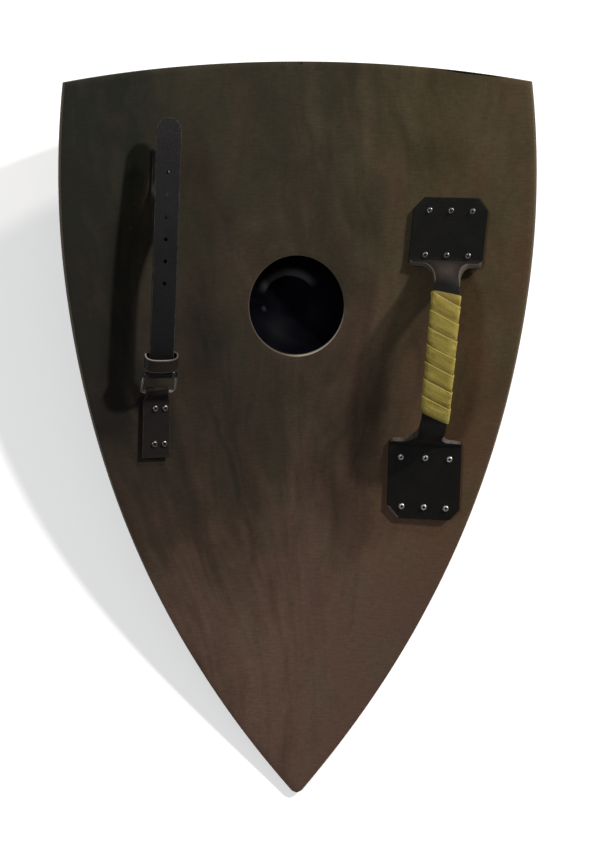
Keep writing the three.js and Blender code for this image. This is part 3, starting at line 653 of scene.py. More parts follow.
def makeSteel():
    material, sheet, shader = newMaterial("brightSteel")
    place = sheet.add("ShaderNodeTexCoord").outputs["Object"]
    tarnish = sheet.noise(place, 260, 4, 0.6)
    scuffs = useGroup(sheet, scuffGroup, Vector=place, Scale=160.0)["Mask"]
    dust = useGroup(sheet, dustGroup, Vector=place, Cover=0.7)["Mask"]
    colour = sheet.blend(sheet.range(tarnish, 0.42, 0.72), steelLook["clean"], steelLook["dull"])
    colour = sheet.blend(sheet.times(dust, 0.4), colour, steelLook["dust"])
    # painted shade: the screws' cross recesses and the ring's bar inside the strap fold are darkened; some
    # screw heads are darkened all over
    colour = sheet.blend(keptNumber(sheet, "recess"), colour, steelLook["darkTone"])
    rough = sheet.plus(sheet.range(tarnish, 0.35, 0.75, 0.0, 0.25), steelLook["roughness"])
    rough = sheet.plus(rough, sheet.times(scuffs, 0.15))
    shader.inputs["Metallic"].default_value = 1.0
    finishMaterial(sheet, shader, colour, rough, tarnish, steelLook)
    return material


bossLook = {"paint": (0.0012, 0.0012, 0.0024), "worn": (0.030, 0.029, 0.031), "dust": (0.12, 0.11, 0.10),
            "paintedReflection": (0.050, 0.051, 0.055), "reflectionMiddle": (-0.0060, 0.0022), "reflectionReach": 0.0310,
            "roughness": 0.50, "gloss": 0.02, "bump": 0.12, "bumpReach": 0.0004}


def makeBlackPaint():
    material, sheet, shader = newMaterial("blackPaint")
    flat = flatPlace(sheet)
    orange = sheet.noise(flat, 420, 3, 0.5)
    patches = sheet.noise(flat, 30, 5, 0.6)
    rub = useGroup(sheet, rubGroup, Vector=flat, Edge=keptNumber(sheet, "rim"), Reach=0.25)["Mask"]
    scuffs = useGroup(sheet, scuffGroup, Vector=flat, Scale=30.0)["Mask"]
    dust = useGroup(sheet, dustGroup, Vector=flat, Cover=0.45)["Mask"]
    palerPaint = tuple(value * 1.8 for value in bossLook["paint"])
    colour = sheet.blend(sheet.range(patches, 0.4, 0.7), bossLook["paint"], palerPaint)
    # a painted reflection: a pale arc in the upper half of the bowl
    x, y, _ = sheet.split(flat)
    sideways = sheet.minus(x, bossLook["reflectionMiddle"][0])
    upward = sheet.minus(y, bossLook["reflectionMiddle"][1])
    reach = sheet.math("SQRT", sheet.plus(sheet.times(sideways, sideways), sheet.times(upward, upward)))
    reach = sheet.plus(reach, sheet.range(patches, 0.3, 0.7, -0.0012, 0.0012))
    inside = sheet.range(reach, bossLook["reflectionReach"] - 0.003, bossLook["reflectionReach"], smooth=True)
    outside = sheet.range(reach, bossLook["reflectionReach"], bossLook["reflectionReach"] + 0.011, 1.0, 0.0, smooth=True)
    turned = sheet.minus(upward, sheet.times(sideways, 0.10))
    above = sheet.range(sheet.math("DIVIDE", turned, reach), 0.30, 0.80, smooth=True)
    paintedReflection = sheet.times(sheet.times(inside, outside), above)
    # and a short thin glint low on its left
    share = sheet.math("ABSOLUTE", sheet.plus(sheet.math("DIVIDE", upward, reach), 0.34))
    glint = sheet.times(sheet.range(share, 0.03, 0.13, 1.0, 0.0), sheet.range(sideways, 0.0, -0.010))
    thin = sheet.range(reach, bossLook["reflectionReach"], bossLook["reflectionReach"] + 0.0035, 1.0, 0.0)
    glint = sheet.times(glint, sheet.times(inside, thin))
    paintedReflection = sheet.math("MAXIMUM", paintedReflection, sheet.times(glint, 0.5))
    paintedReflection = sheet.times(paintedReflection, keptNumber(sheet, "hollowSide"))
    colour = sheet.blend(paintedReflection, colour, bossLook["paintedReflection"])
    colour = sheet.blend(sheet.times(sheet.math("MAXIMUM", rub, scuffs), 0.35), colour, bossLook["worn"])
    colour = sheet.blend(sheet.times(dust, 0.03), colour, bossLook["dust"])
    rough = sheet.plus(sheet.range(patches, 0.3, 0.7, 0.0, 0.08), bossLook["roughness"])
    rough = sheet.plus(rough, sheet.times(dust, 0.15))
    rough = sheet.plus(rough, sheet.times(scuffs, 0.2))
    finishMaterial(sheet, shader, colour, rough, orange, bossLook)
    return material


stainedPlywood = makeWood()
padLeather = makeLeather("blackPadLeather", "pad")
strapLeather = makeLeather("strapLeather", "strap")
tabLeather = makeLeather("tabLeather", "tab")
keeperLeather = makeLeather("keeperLeather", "keeper")
yellowTape = makeTape()
brightSteel = makeSteel()
bossPaint = makeBlackPaint()
print("materials ready")


# Board

boardSize = {"thick": 0.009, "topMiddle": 0.2895, "topArch": 0.0215, "tipHeight": -0.624, "tipEase": 0.0045,
             "halfWidest": 0.2845, "widestHeight": 0.140, "sideRadius": 0.980, "sideTurn": 6.0,
             "tipRound": 0.009, "holeWide": 0.057, "holeTall": 0.0608, "holeEase": 0.0013, "edgeEase": 0.0008,
             "outlinePoints": 360, "topShare": 0.126, "rings": 34,
             "topSteps": 80, "sideSteps": 40, "flankSteps": 160, "tipSteps": 10,
             "skin": 0.0004, "holeReach": 1.02, "bareSide": (0.60, -0.80), "bareFrom": 0.55, "bareTo": 0.98}
# chips cut from the top edge, and how far the painted shade inside the long one reaches
topChips = {
    "topSliver": {"middle": (0.2035, 0.2783, 0.0003), "size": (0.082, 0.0052, 0.0044), "turn": -0.118},
    "topNick": {"middle": (0.0040, 0.2890, -0.0015), "size": (0.0060, 0.0062, 0.0075), "turn": 0.0}}
sliverShadeReach = {"half": 0.0455, "deep": 0.0035, "below": 0.0032}


def halfOutline():
    # the right half of the outline, from the middle of the top edge down to the tip
    size = boardSize
    turn = math.radians(size["sideTurn"])
    sideCentre = Vector((size["halfWidest"] - size["sideRadius"], size["widestHeight"]))
    turnNormal = Vector((math.cos(turn), -math.sin(turn)))
    turnSpot = sideCentre + turnNormal * size["sideRadius"]
    toTip = Vector((0, size["tipHeight"] - size["tipEase"])) - turnSpot
    flankRadius = -toTip.length_squared / (2 * toTip.dot(turnNormal))
    flankCentre = turnSpot - turnNormal * flankRadius
    topCorner = size["topMiddle"] - size["topArch"]
    cornerX = sideCentre.x + math.sqrt(size["sideRadius"] ** 2 - (topCorner - size["widestHeight"]) ** 2)
    topRadius = (cornerX ** 2 + size["topArch"] ** 2) / (2 * size["topArch"])

    def flankFoot(x):
        return flankCentre.y - math.sqrt(flankRadius ** 2 - (x - flankCentre.x) ** 2)

    points = []
    for i in range(size["topSteps"] + 1):
        x = cornerX * i / size["topSteps"]
        points.append(Vector((x, size["topMiddle"] - topRadius + math.sqrt(topRadius ** 2 - x ** 2))))
    cornerTurn = math.asin((topCorner - size["widestHeight"]) / size["sideRadius"])
    for i in range(1, size["sideSteps"] + 1):
        angle = mix(cornerTurn, -turn, i / size["sideSteps"])
        points.append(sideCentre + Vector((math.cos(angle), math.sin(angle))) * size["sideRadius"])
    endTurn = math.acos((size["tipRound"] - flankCentre.x) / flankRadius)
    for i in range(1, size["flankSteps"] + 1):
        angle = -mix(turn, endTurn, i / size["flankSteps"])
        points.append(flankCentre + Vector((math.cos(angle), math.sin(angle))) * flankRadius)
    rootY = flankFoot(size["tipRound"])
    for i in range(size["tipSteps"] - 1, -1, -1):
        share = i / size["tipSteps"]
        points.append(Vector((size["tipRound"] * share, mix(size["tipHeight"], rootY, share ** 2))))
    return points, size["topSteps"]


def evenSpots(points, count):
    lengths = [0.0]
    for a, b in zip(points, points[1:]):
        lengths.append(lengths[-1] + (b - a).length)
    spots = []
    j = 0
    for i in range(count + 1):
        want = lengths[-1] * i / count
        while j < len(points) - 2 and lengths[j + 1] < want:
            j += 1
        share = (want - lengths[j]) / max(1e-9, lengths[j + 1] - lengths[j])
        spots.append(points[j].lerp(points[j + 1], share))
    return spots


def wholeOutline(count):
    points, corner = halfOutline()
    topCount = round(count * boardSize["topShare"])
    half = evenSpots(points[:corner + 1], topCount)[:-1]
    half += evenSpots(points[corner:], count // 2 - topCount)
    left = [Vector((-spot.x, spot.y)) for spot in half[1:-1]]
    return half + left[::-1]


def cutWedge(board, name, middle, size, turn):
    # a shallow chip cut out of the top edge
    deselectAll()
    bpy.ops.mesh.primitive_cube_add(size=1)
    wedge = newest(name)
    openWhole(wedge)
    bpy.ops.mesh.subdivide(number_cuts=5)
    bpy.ops.transform.resize(value=size)
    closeEdit()
    for vert in wedge.data.vertices:
        vert.co.y *= 1 - 0.75 * min(1, abs(vert.co.x) / size[0] * 2) ** 2
        vert.co += noise.noise_vector(vert.co * 160) * min(size[1], size[2]) * 0.22
        x = vert.co.x
        vert.co.x = middle[0] + x * math.cos(turn) - vert.co.y * math.sin(turn)
        vert.co.y = middle[1] + x * math.sin(turn) + vert.co.y * math.cos(turn)
        vert.co.z += middle[2]
    mergeAndTurnOut(wedge)
    cutWith(board, wedge)


def buildBoard():
    size = boardSize
    outline = wholeOutline(size["outlinePoints"])
    count = len(outline)
    deselectAll()
    bpy.ops.mesh.primitive_circle_add(vertices=count, radius=size["holeWide"])
    board = newest("boardPanel")
    directions = [spot.normalized() for spot in outline]
    for vert, way in zip(board.data.vertices, directions):
        reach = 1 / math.hypot(way.x / size["holeWide"], way.y / size["holeTall"])
        vert.co = Vector((way.x * reach, way.y * reach, 0))
    openWhole(board)
    bpy.ops.mesh.extrude_region_move()
    closeEdit()
    for vert in board.data.vertices[count:]:
        place = Vector((vert.co.x, vert.co.y)).normalized()
        nearest = max(range(count), key=lambda i: directions[i].dot(place))
        vert.co = Vector((outline[nearest].x, outline[nearest].y, 0))
    openEdges(board, lambda edge: (edge.vertices[0] < count) != (edge.vertices[1] < count))
    bpy.ops.mesh.subdivide_edgering(number_cuts=size["rings"], interpolation="LINEAR",
                                    profile_shape_factor=0)
    closeEdit()
    mergeAndTurnOut(board)
    if board.data.polygons[0].normal.z < 0:
        flipFaces(board)
    applyModifier(board, "SOLIDIFY", thickness=size["thick"], offset=-1)

    def nearHole(spot):
        return math.hypot(spot.x / size["holeWide"], spot.y / size["holeTall"]) < size["holeReach"]

    def onHoleRim(edge):
        # short edges of the back face that run round the hole, not away from it
        middle = edgeMiddle(board, edge)
        a, b = (board.data.vertices[i].co for i in edge.vertices)
        if not nearHole(middle) or middle.z <= -1e-5 or (a - b).length >= 0.004:
            return False
        return abs((b - a).normalized().dot(Vector((middle.x, middle.y, 0)).normalized())) < 0.5

    openEdges(board, onHoleRim)
    bpy.ops.mesh.bevel(offset=size["holeEase"], segments=4)
    closeEdit()
    easeEdges(board, size["edgeEase"], 2, 60)
    for name, chip in topChips.items():
        cutWedge(board, name, **chip)
    keepFlat(board)

    def inSliver(spot):
        middle, turn = topChips["topSliver"]["middle"], topChips["topSliver"]["turn"]
        foot = middle[1] + turn * (spot.x - middle[0]) - sliverShadeReach["below"]
        return abs(spot.x - middle[0]) < sliverShadeReach["half"] and spot.z > -sliverShadeReach["deep"] and spot.y > foot

    # painted shade inside the long chip
    def sliverShadeShare(spot):
        return 1.0 if inSliver(spot) and spot.z < -0.0001 else 0.0

    def cutShare(spot):
        if inSliver(spot):
            return 0.0
        if nearHole(spot):
            return 1.0 if spot.z < -size["skin"] / 2 else 0.6
        return 1.0 if size["skin"] - size["thick"] < spot.z < -size["skin"] else 0.0

    # bare wood all round the hole's edge, and a painted highlight toward the light on its lower right
    def bareShare(spot):
        if not nearHole(spot):
            return 0.0
        way = Vector((spot.x / size["holeWide"], spot.y / size["holeTall"])).normalized()
        toLight = way.dot(Vector(size["bareSide"]))
        return mix(0.12, 1.0, smoothstep(toLight, size["bareFrom"], size["bareTo"]))

    keepNumber(board, "cutEdge", cutShare)
    keepNumber(board, "bareWood", bareShare)
    keepNumber(board, "sliverShadeMask", sliverShadeShare)
    moveAll(board, bendAndLay)
    finishPiece(board, ["board"], stainedPlywood, 30)


buildBoard()
print("board ready")


# Boss

bossSize = {"depth": 0.042, "mouth": 0.064, "wall": 0.002, "flange": 0.084, "flangeRoot": 0.0655,
            "rimRound": 0.0004, "rimEase": 0.0006, "rimFlat": 0.004, "bendStart": 0.0030, "bendEnd": 0.0008,
            "gap": 0.0003, "around": 112, "rings": 26,
            "rimRub": (0.0815, 0.0842), "footRub": (0.0500, 0.0514), "footShare": 0.75}


def buildBoss():
    size = bossSize
    radius = (size["mouth"] ** 2 + size["depth"] ** 2) / (2 * size["depth"])
    centre = radius - size["depth"] - boardSize["thick"] - size["gap"]
    face = -boardSize["thick"] - size["gap"]
    under = face - size["wall"]
    mouthTurn = math.acos((centre - under) / radius)
    root = radius * math.sin(mouthTurn)
    profile = [(size["flange"], face - size["rimRound"]), (size["flange"], under + size["rimRound"]),
               (size["flange"] - size["rimEase"], under), (size["flange"] - size["rimFlat"], under),
               (root + size["bendStart"], under), (root + size["bendEnd"], under - size["rimEase"])]
    for i in range(1, size["rings"] + 1):
        turn = mouthTurn * (1 - i / (size["rings"] + 0.6))
        profile.append((radius * math.sin(turn), centre - radius * math.cos(turn)))
    deselectAll()
    bpy.ops.mesh.primitive_circle_add(vertices=size["around"], radius=profile[0][0],
                                      location=(0, 0, profile[0][1]))
    boss = newest("bossShell")
    bpy.ops.object.transform_apply(location=True, rotation=True, scale=True)
    openWhole(boss)
    for before, after in zip(profile, profile[1:]):
        bpy.ops.mesh.extrude_region_move()
        bpy.ops.transform.translate(value=(0, 0, after[1] - before[1]))
        shrink = after[0] / before[0]
        bpy.ops.transform.resize(value=(shrink, shrink, 1), center_override=(0, 0, after[1]))
    bpy.ops.mesh.edge_face_add()
    bpy.ops.mesh.poke()
    closeEdit()
    mergeAndTurnOut(boss)
    lowest = min(boss.data.polygons, key=lambda polygon: polygon.center.z)
    if lowest.normal.z > 0:
        flipFaces(boss)
    applyModifier(boss, "SOLIDIFY", thickness=size["wall"], offset=-1, use_even_offset=False)

    def levelFlange(spot):
        if math.hypot(spot.x, spot.y) > size["flangeRoot"]:
            spot.z = min(spot.z, face)
        return spot

    moveAll(boss, levelFlange)
    keepFlat(boss)

    def rimShare(spot):
        reach = math.hypot(spot.x, spot.y)
        return max(smoothstep(reach, *size["rimRub"]),
                   size["footShare"] * smoothstep(-spot.z, *size["footRub"]))

    def hollowShare(spot):
        toCentre = (spot - Vector((0, 0, centre))).length
        return 1.0 if spot.z < under and toCentre < radius - 0.5 * size["wall"] else 0.0

    keepNumber(boss, "rim", rimShare)
    keepNumber(boss, "hollowSide", hollowShare)
    # the foot is beaten flat where the boss rests on the floor, inside as well as outside
    hollow = [hollowShare(vert.co) for vert in boss.data.vertices]
    moveAll(boss, bendAndLay)
    for vert, inside in zip(boss.data.vertices, hollow):
        vert.co.z = max(vert.co.z, size["wall"] * inside)
    finishPiece(boss, ["boss"], bossPaint, 50)


buildBoss()
print("boss ready")


# Handle

handleSize = {"across": 0.1759, "lean": 0.0885, "lowerLean": 0.02, "outward": 0.24,
              "padHalf": 0.0447, "endHalf": 0.0325, "chamfer": 0.014, "padThick": 0.0055,
              "padTop": 0.132, "padFoot": 0.053, "padHead": -0.162, "padEnd": -0.260,
              "shoulder": 0.005, "fillet": 0.014, "gripHalf": 0.0165, "gripThick": 0.009, "rise": 0.054,
              "gap": 0.0003, "tapeTop": 0.0245, "tapeFoot": -0.121, "upperShift": -0.0022,
              "lowerShift": -0.0042, "edgeEase": 0.0013, "neckLift": 0.0022, "wave": 0.00035}


# how strongly the leather is rubbed or given a painted highlight, and how near an edge
handleWearAndHighlight = {"rubFrom": 0.0004, "rubTo": 0.0040, "flatRub": 0.30, "bendRubAndHighlight": 1.25, "lowerRub": 0.75,
              # chip is a painted highlight on the pale edge of the lower pad's left corner; the bends carry
              # painted highlight on their rubbed edges
              "chip": 0.8, "cornerFrom": 0.001, "cornerTo": 0.015, "cornerWide": 0.0030, "cut": 0.8, "most": 1.2,
              "lowerNeckHighlight": 0.50, "sideHighlightFade": 0.55}


def gripShare(y):
    pastPads = min(handleSize["padFoot"] - y, y - handleSize["padHead"])
    return smoothstep(pastPads, -0.004, 0.020)


def handleMiddle(y):
    size = handleSize
    belowGrip = min(0, y - size["padHead"])
    padShift = size["upperShift"] if y > size["tapeTop"] else size["lowerShift"]
    straight = size["across"] + size["lean"] * (y - belowGrip) + size["lowerLean"] * belowGrip
    return straight + padShift * (1 - gripShare(y))


handleLine = {"outward": handleSize["outward"], "middle": handleMiddle,
              "cross": lambda y: handleSize["lean"] * gripShare(y)}


def handlePath():
    size = handleSize
    level = size["gap"] + size["padThick"] / 2
    rise, crown = size["rise"], size["rise"] + 0.001
    top, foot = size["tapeTop"] - 0.010, size["tapeFoot"] + 0.010
    head = size["padHead"]
    bend = size["padFoot"] - 0.005
    points = [(size["padTop"], level), (size["padFoot"] + 0.006, level)]
    points += bezier(points[-1], (bend, level), (bend, rise), (top, crown), 40)
    points += bezier(points[-1], (top - 0.028, rise + 0.004), (foot + 0.028, rise + 0.004), (foot, crown), 30)
    points += bezier(points[-1], (head + 0.014, rise), (head + 0.014, level), (head - 0.008, level), 40)
    points.append((size["padEnd"], level))
    return SidePath(points, face=-1)


def handleHalf(y):
    size = handleSize
    intoEnd = min(size["padTop"] - y, y - size["padEnd"])
    pastPads = min(size["padFoot"] - y, y - size["padHead"])
    half = size["padHalf"]
    if intoEnd < size["chamfer"]:
        half = mix(size["endHalf"], size["padHalf"], max(0, intoEnd) / size["chamfer"])
    if pastPads > -size["shoulder"]:
        rounding = min(1, pastPads / size["shoulder"] + 1)
        half -= size["shoulder"] * (1 - math.sqrt(max(0, 1 - rounding ** 2)))
    if pastPads > 0:
        narrowing = min(1, pastPads / size["fillet"])
        half = size["gripHalf"] + size["fillet"] * (1 - math.sqrt(1 - (1 - narrowing) ** 2))
    return half, pastPads


def buildHandle():
    size = handleSize
    path = handlePath()
    handle = straightStrip("handleStrap", 1.0, path.length, 24, 420)

    def narrow(spot):
        y = path.at(spot.y)[0].x
        half, _ = handleHalf(y)
        # closer rows of points toward the edges
        return Vector((math.copysign(abs(spot.x) ** 0.8, spot.x) * half, spot.y, 0))

    moveAll(handle, narrow)
    applyModifier(handle, "SOLIDIFY", thickness=size["padThick"], offset=0)
    easeEdges(handle, size["edgeEase"])
    keepFlat(handle)

    wear = handleWearAndHighlight

    # rubbed edges, raised at the bends by a painted highlight, and a painted highlight on the lower left
    # corner's edge
    def rimShare(spot):
        half, pastPads = handleHalf(path.at(spot.y)[0].x)
        toSide = half - abs(spot.x)
        toFoot = path.length - spot.y
        near = 1 - smoothstep(min(toSide, spot.y, toFoot), wear["rubFrom"], wear["rubTo"])
        bend = smoothstep(pastPads, -0.006, 0.000) * (1 - smoothstep(pastPads, 0.012, 0.030))
        upper = 1.0 if spot.y < toFoot else wear["lowerRub"]
        inCornerHighlight = spot.x < 0 and wear["cornerFrom"] < toFoot < wear["cornerTo"] and toSide < wear["cornerWide"]
        rub = near * mix(wear["flatRub"], wear["bendRubAndHighlight"] * upper, bend)
        return min(wear["most"], rub + (wear["chip"] if inCornerHighlight else 0.0))

    def cutShare(spot):
        half, _ = handleHalf(path.at(spot.y)[0].x)
        side = max(abs(spot.x) - half, -spot.y, spot.y - path.length)
        return wear["cut"] if side > -0.0007 and abs(spot.z) < 0.0021 else 0.0

    # painted highlight on the necks, strongest in the middle of the upper one
    def neckHighlightShare(spot):
        half, pastPads = handleHalf(path.at(spot.y)[0].x)
        upper = 1.0 if spot.y < path.length / 2 else wear["lowerNeckHighlight"]
        middle = 1 - wear["sideHighlightFade"] * smoothstep(abs(spot.x) / half, 0.25, 0.95)
        return upper * middle * smoothstep(pastPads, -0.006, 0.006) * (1 - smoothstep(pastPads, 0.008, 0.022))

    keepNumber(handle, "rim", rimShare)
    keepNumber(handle, "neckHighlight", neckHighlightShare)
    keepNumber(handle, "cutEdge", cutShare)

    def shape(spot):
        y = path.at(spot.y)[0].x
        half, pastPads = handleHalf(y)
        thicken = smoothstep(pastPads, -0.006, 0.016)
        scale = mix(1, size["gripThick"] / size["padThick"], thicken)
        share = abs(spot.x) / half
        spot.z *= scale
        # the neck is drawn up in the middle, and the pads are pressed a little by their screws
        neck = smoothstep(pastPads, -0.010, 0.006) * (1 - smoothstep(pastPads, 0.014, 0.028))
        if spot.z > 0:
            spot.z += size["neckLift"] * neck * (1 - min(1, share) ** 2)
        wave = noise.noise(Vector((spot.x * 45, spot.y * 45, 3))) * size["wave"]
        if spot.z > 0.001:
            spot.z += wave - 0.0004 * (1 - thicken) * smoothstep(share, 0.8, 1.0)
        return bendAndLay(onLine(handleLine, path.lay(spot)))

    moveAll(handle, shape)
    finishPiece(handle, ["handle"], padLeather, 45)


buildHandle()
print("handle ready")


# Tape wound round the grip

tapeSize = {"pitch": 0.0203, "overlap": 0.0042, "lift": 0.0013, "thick": 0.0008, "clear": 0.0014,
            "topSlant": 0.05, "footSlant": 0.25, "turns": 9, "around": 72, "roundness": 0.45,
            "ripple": 0.00028}


def buildTape():
    size = tapeSize
    path = handlePath()
    top = path.distanceTo(handleSize["tapeTop"], 0.0)
    foot = path.distanceTo(handleSize["tapeFoot"], 0.3)
    width = size["pitch"] + size["overlap"]
    tape = straightStrip("gripTape", 0.5, 1.0, 16, size["turns"] * size["around"])
    halfWide = handleSize["gripHalf"] + size["clear"]
    halfTall = handleSize["gripThick"] / 2 + size["clear"]

    def around(turn, lift):
        # a rounded oblong, starting at the left side and going over the front first
        angle = math.pi - turn * 2 * math.pi
        c, s = math.cos(angle), math.sin(angle)
        x = math.copysign(abs(c) ** size["roundness"], c) * (halfWide + lift)
        z = math.copysign(abs(s) ** size["roundness"], s) * (halfTall + lift)
        return x, z

    def wind(spot):
        share = spot.x + 0.5
        turns = spot.y * size["turns"] - 1.25
        part = turns - math.floor(turns)
        x, z = around(part, 0)
        frontDrop = 0.5 * (1 + x / halfWide) if z >= 0 else 1 - 0.5 * (1 + x / halfWide)
        side = 0.62 * frontDrop if z >= 0 else 0.62 + 0.38 * frontDrop
        along = top + (math.floor(turns) + side) * size["pitch"] + share * width
        ripple = noise.noise(Vector((x * 90 + turns * 3.1, along * 260, z * 90))) * size["ripple"]
        lift = size["lift"] * (1 - share * size["pitch"] / width) + size["thick"] / 2 + ripple
        x, z = around(part, lift)
        return Vector((x, along, z))

    shares = [(vert.co.x + 0.5, vert.co.y * size["turns"]) for vert in tape.data.vertices]
    moveAll(tape, wind)
    kept = tape.data.attributes.new("flat", "FLOAT_VECTOR", "POINT")
    kept.data.foreach_set("vector", [value for share, turns in shares for value in (share, turns * 0.1, 0.0)])
    applyModifier(tape, "SOLIDIFY", thickness=size["thick"], offset=0)
    for place, slant, clearOuter in ((top, size["topSlant"], False), (foot, size["footSlant"], True)):
        openWhole(tape)
        bpy.ops.mesh.bisect(plane_co=(0, place, 0), plane_no=(-slant, 1, 0), use_fill=True,
                            clear_inner=not clearOuter, clear_outer=clearOuter)
        closeEdit()

    def lay(spot):
        place = path.lay(Vector((spot.x, min(max(spot.y, 0), path.length), spot.z)))
        return bendAndLay(onLine(handleLine, place))

    moveAll(tape, lay)
    finishPiece(tape, ["grip_tape"], yellowTape, 50)


buildTape()
print("tape ready")


# Arm strap, tab, ring and keeper

strapSize = {"across": -0.1673, "lean": 0.04, "sway": 0.02, "outward": -0.21, "half": 0.0162, "thick": 0.0032,
             "gap": 0.0003, "step": 0.0037, "anchorEnd": 0.190, "anchorBend": 0.152, "crownHead": 0.070,
             "crownFoot": -0.040, "rise": 0.053, "bulge": 0.004, "drop": 0.0015, "freeEnd": 0.228,
             "freeRise": 0.038, "tipLength": 0.023, "holes": 6, "holeStep": 0.0254, "firstHole": 0.0395,
             "holeRadius": 0.0024, "edgeEase": 0.0008, "wave": 0.0004}
tabSize = {"half": 0.0171, "end": -0.178, "underShort": 0.006, "flatEnd": -0.112}
ringSize = {"wire": 0.0021, "half": 0.0211, "topBar": (-0.068, 0.045), "lowBar": (-0.096, 0.012),
            "topRound": 0.004, "lowRound": 0.007, "steps": 144, "around": 18, "radius": 0.02, "darkTone": 0.93}
keeperSize = {"half": 0.0202, "front": 0.011, "back": 0.0064, "thick": 0.0024, "length": 0.017,
              "fullness": 0.72, "middle": (-0.0515, 0.0536), "slope": 24.0, "edgeEase": 0.0006,
              "around": 96, "rows": 10}
strapWear = {"rub": 0.9, "rubFrom": 0.0003, "rubTo": 0.0030, "cut": 0.7, "cutReach": 0.0005}
strapLine = {"outward": strapSize["outward"],
             "middle": lambda y: strapSize["across"] + strapSize["lean"] * y
             + strapSize["sway"] * max(0, y - strapSize["crownFoot"]),
             "cross": lambda y: strapSize["lean"]}
lowLayer = strapSize["gap"] + strapSize["thick"] / 2
barReach = ringSize["wire"] + 0.0004 + strapSize["thick"] / 2


def strapPath():
    size = strapSize
    pull = math.radians(40)
    down = Vector((-math.cos(pull), -math.sin(pull)))
    face = Vector((down.y, -down.x))
    bar = Vector(ringSize["topBar"])
    under, over = bar - face * barReach, bar + face * barReach
    head, foot = size["crownHead"], size["crownFoot"]
    bendAt = size["anchorBend"]
    half, full = size["rise"] + size["bulge"] / 2, size["rise"] + size["bulge"]
    footRise = size["rise"] + size["drop"]
    turnIn = mix(foot, bar.x, 0.43)
    points = [(size["anchorEnd"], lowLayer), (bendAt, lowLayer)]
    points += bezier(points[-1], (mix(bendAt, head, 0.34), lowLayer),
                     (mix(bendAt, head, 0.39), size["rise"] * 0.96), (head, size["rise"]), 40)
    points += bezier(points[-1], (mix(head, foot, 0.36), half), (mix(head, foot, 0.73), full),
                     (foot, footRise))
    points += bezier(points[-1], (turnIn, footRise - 0.001), tuple(under - down * 0.008), tuple(under))
    points += roundBar(bar, barReach, math.atan2(-face.y, -face.x), -math.pi, 18)[1:]
    points += bezier(points[-1], tuple(over - down * 0.008), (turnIn, footRise + size["step"] - 0.001),
                     (foot, footRise + size["step"]))
    high = size["rise"] + size["step"]
    points += bezier(points[-1], (mix(head, foot, 0.73), full + size["step"]),
                     (mix(head, foot, 0.36), half + size["step"]), (head, high))
    root = size["freeEnd"] - size["tipLength"]
    points += bezier(points[-1], (mix(head, root, 0.3), high - size["bulge"] / 2),
                     (mix(head, root, 0.74), mix(size["freeRise"], high, 0.48)),
                     (root, mix(size["freeRise"], high, 0.21)), 30)
    points.append((size["freeEnd"], size["freeRise"]))
    return SidePath(points)


def punchHoles(strap, path):
    size = strapSize
    for i in range(size["holes"]):
        along = path.distanceTo(size["firstHole"] + i * size["holeStep"], 0.55)
        deselectAll()
        bpy.ops.mesh.primitive_cylinder_add(vertices=28, radius=size["holeRadius"], depth=0.02,
                                            location=(0, along, 0))
        punch = newest("punch")
        cutWith(strap, punch)


def keepLeatherEdges(piece, halfAt, length, thick):
    wear = strapWear

    def rimShare(spot):
        near = min(halfAt(spot.y) - abs(spot.x), spot.y, length - spot.y)
        return wear["rub"] * (1 - smoothstep(near, wear["rubFrom"], wear["rubTo"]))

    def cutShare(spot):
        side = max(abs(spot.x) - halfAt(spot.y), -spot.y, spot.y - length)
        inMiddle = abs(spot.z) < thick / 2 - wear["cutReach"]
        return wear["cut"] if side > -wear["cutReach"] and inMiddle else 0.0

    keepNumber(piece, "rim", rimShare)
    keepNumber(piece, "cutEdge", cutShare)


def buildStrap():
    size = strapSize
    path = strapPath()
    strap = straightStrip("armStrap", 1.0, path.length, 10, 640)

    def halfAt(along):
        toTip = path.length - along
        if toTip > size["half"]:
            return size["half"]
        share = min(0.9995, max(0.0, 1 - toTip / size["half"]))
        return size["half"] * math.sqrt(1 - share ** 2)

    moveAll(strap, lambda spot: Vector((spot.x * halfAt(spot.y), spot.y, 0)))
    mergeAndTurnOut(strap, 0.0003)
    applyModifier(strap, "SOLIDIFY", thickness=size["thick"], offset=0)
    easeEdges(strap, size["edgeEase"])
    punchHoles(strap, path)
    keepFlat(strap)
    keepLeatherEdges(strap, halfAt, path.length, size["thick"])

    def shape(spot):
        # a slow wave, as a used strap has
        spot.z += noise.noise(Vector((spot.x * 30, spot.y * 22, 1))) * size["wave"]
        return bendAndLay(onLine(strapLine, path.lay(spot)))

    moveAll(strap, shape)
    finishPiece(strap, ["arm_strap"], strapLeather, 45)


def tabPath():
    size = tabSize
    bar, top = Vector(ringSize["lowBar"]), Vector(ringSize["topBar"])
    up = (top - bar).normalized()
    face = Vector((-up.y, up.x))
    under, over = bar - face * barReach, bar + face * barReach
    high = lowLayer + strapSize["step"]
    points = [(size["end"] + size["underShort"], lowLayer), (size["flatEnd"], lowLayer)]
    points += bezier(points[-1], (mix(size["flatEnd"], bar.x, 0.62), lowLayer),
                     tuple(under - up * 0.006), tuple(under))
    points += roundBar(bar, barReach, math.atan2(-face.y, -face.x), math.pi, 18)[1:]
    points += bezier(points[-1], tuple(over - up * 0.006), (mix(size["flatEnd"], bar.x, 0.4), high),
                     (size["flatEnd"], high))
    points.append((size["end"], high))
    return SidePath(points, face=-1)


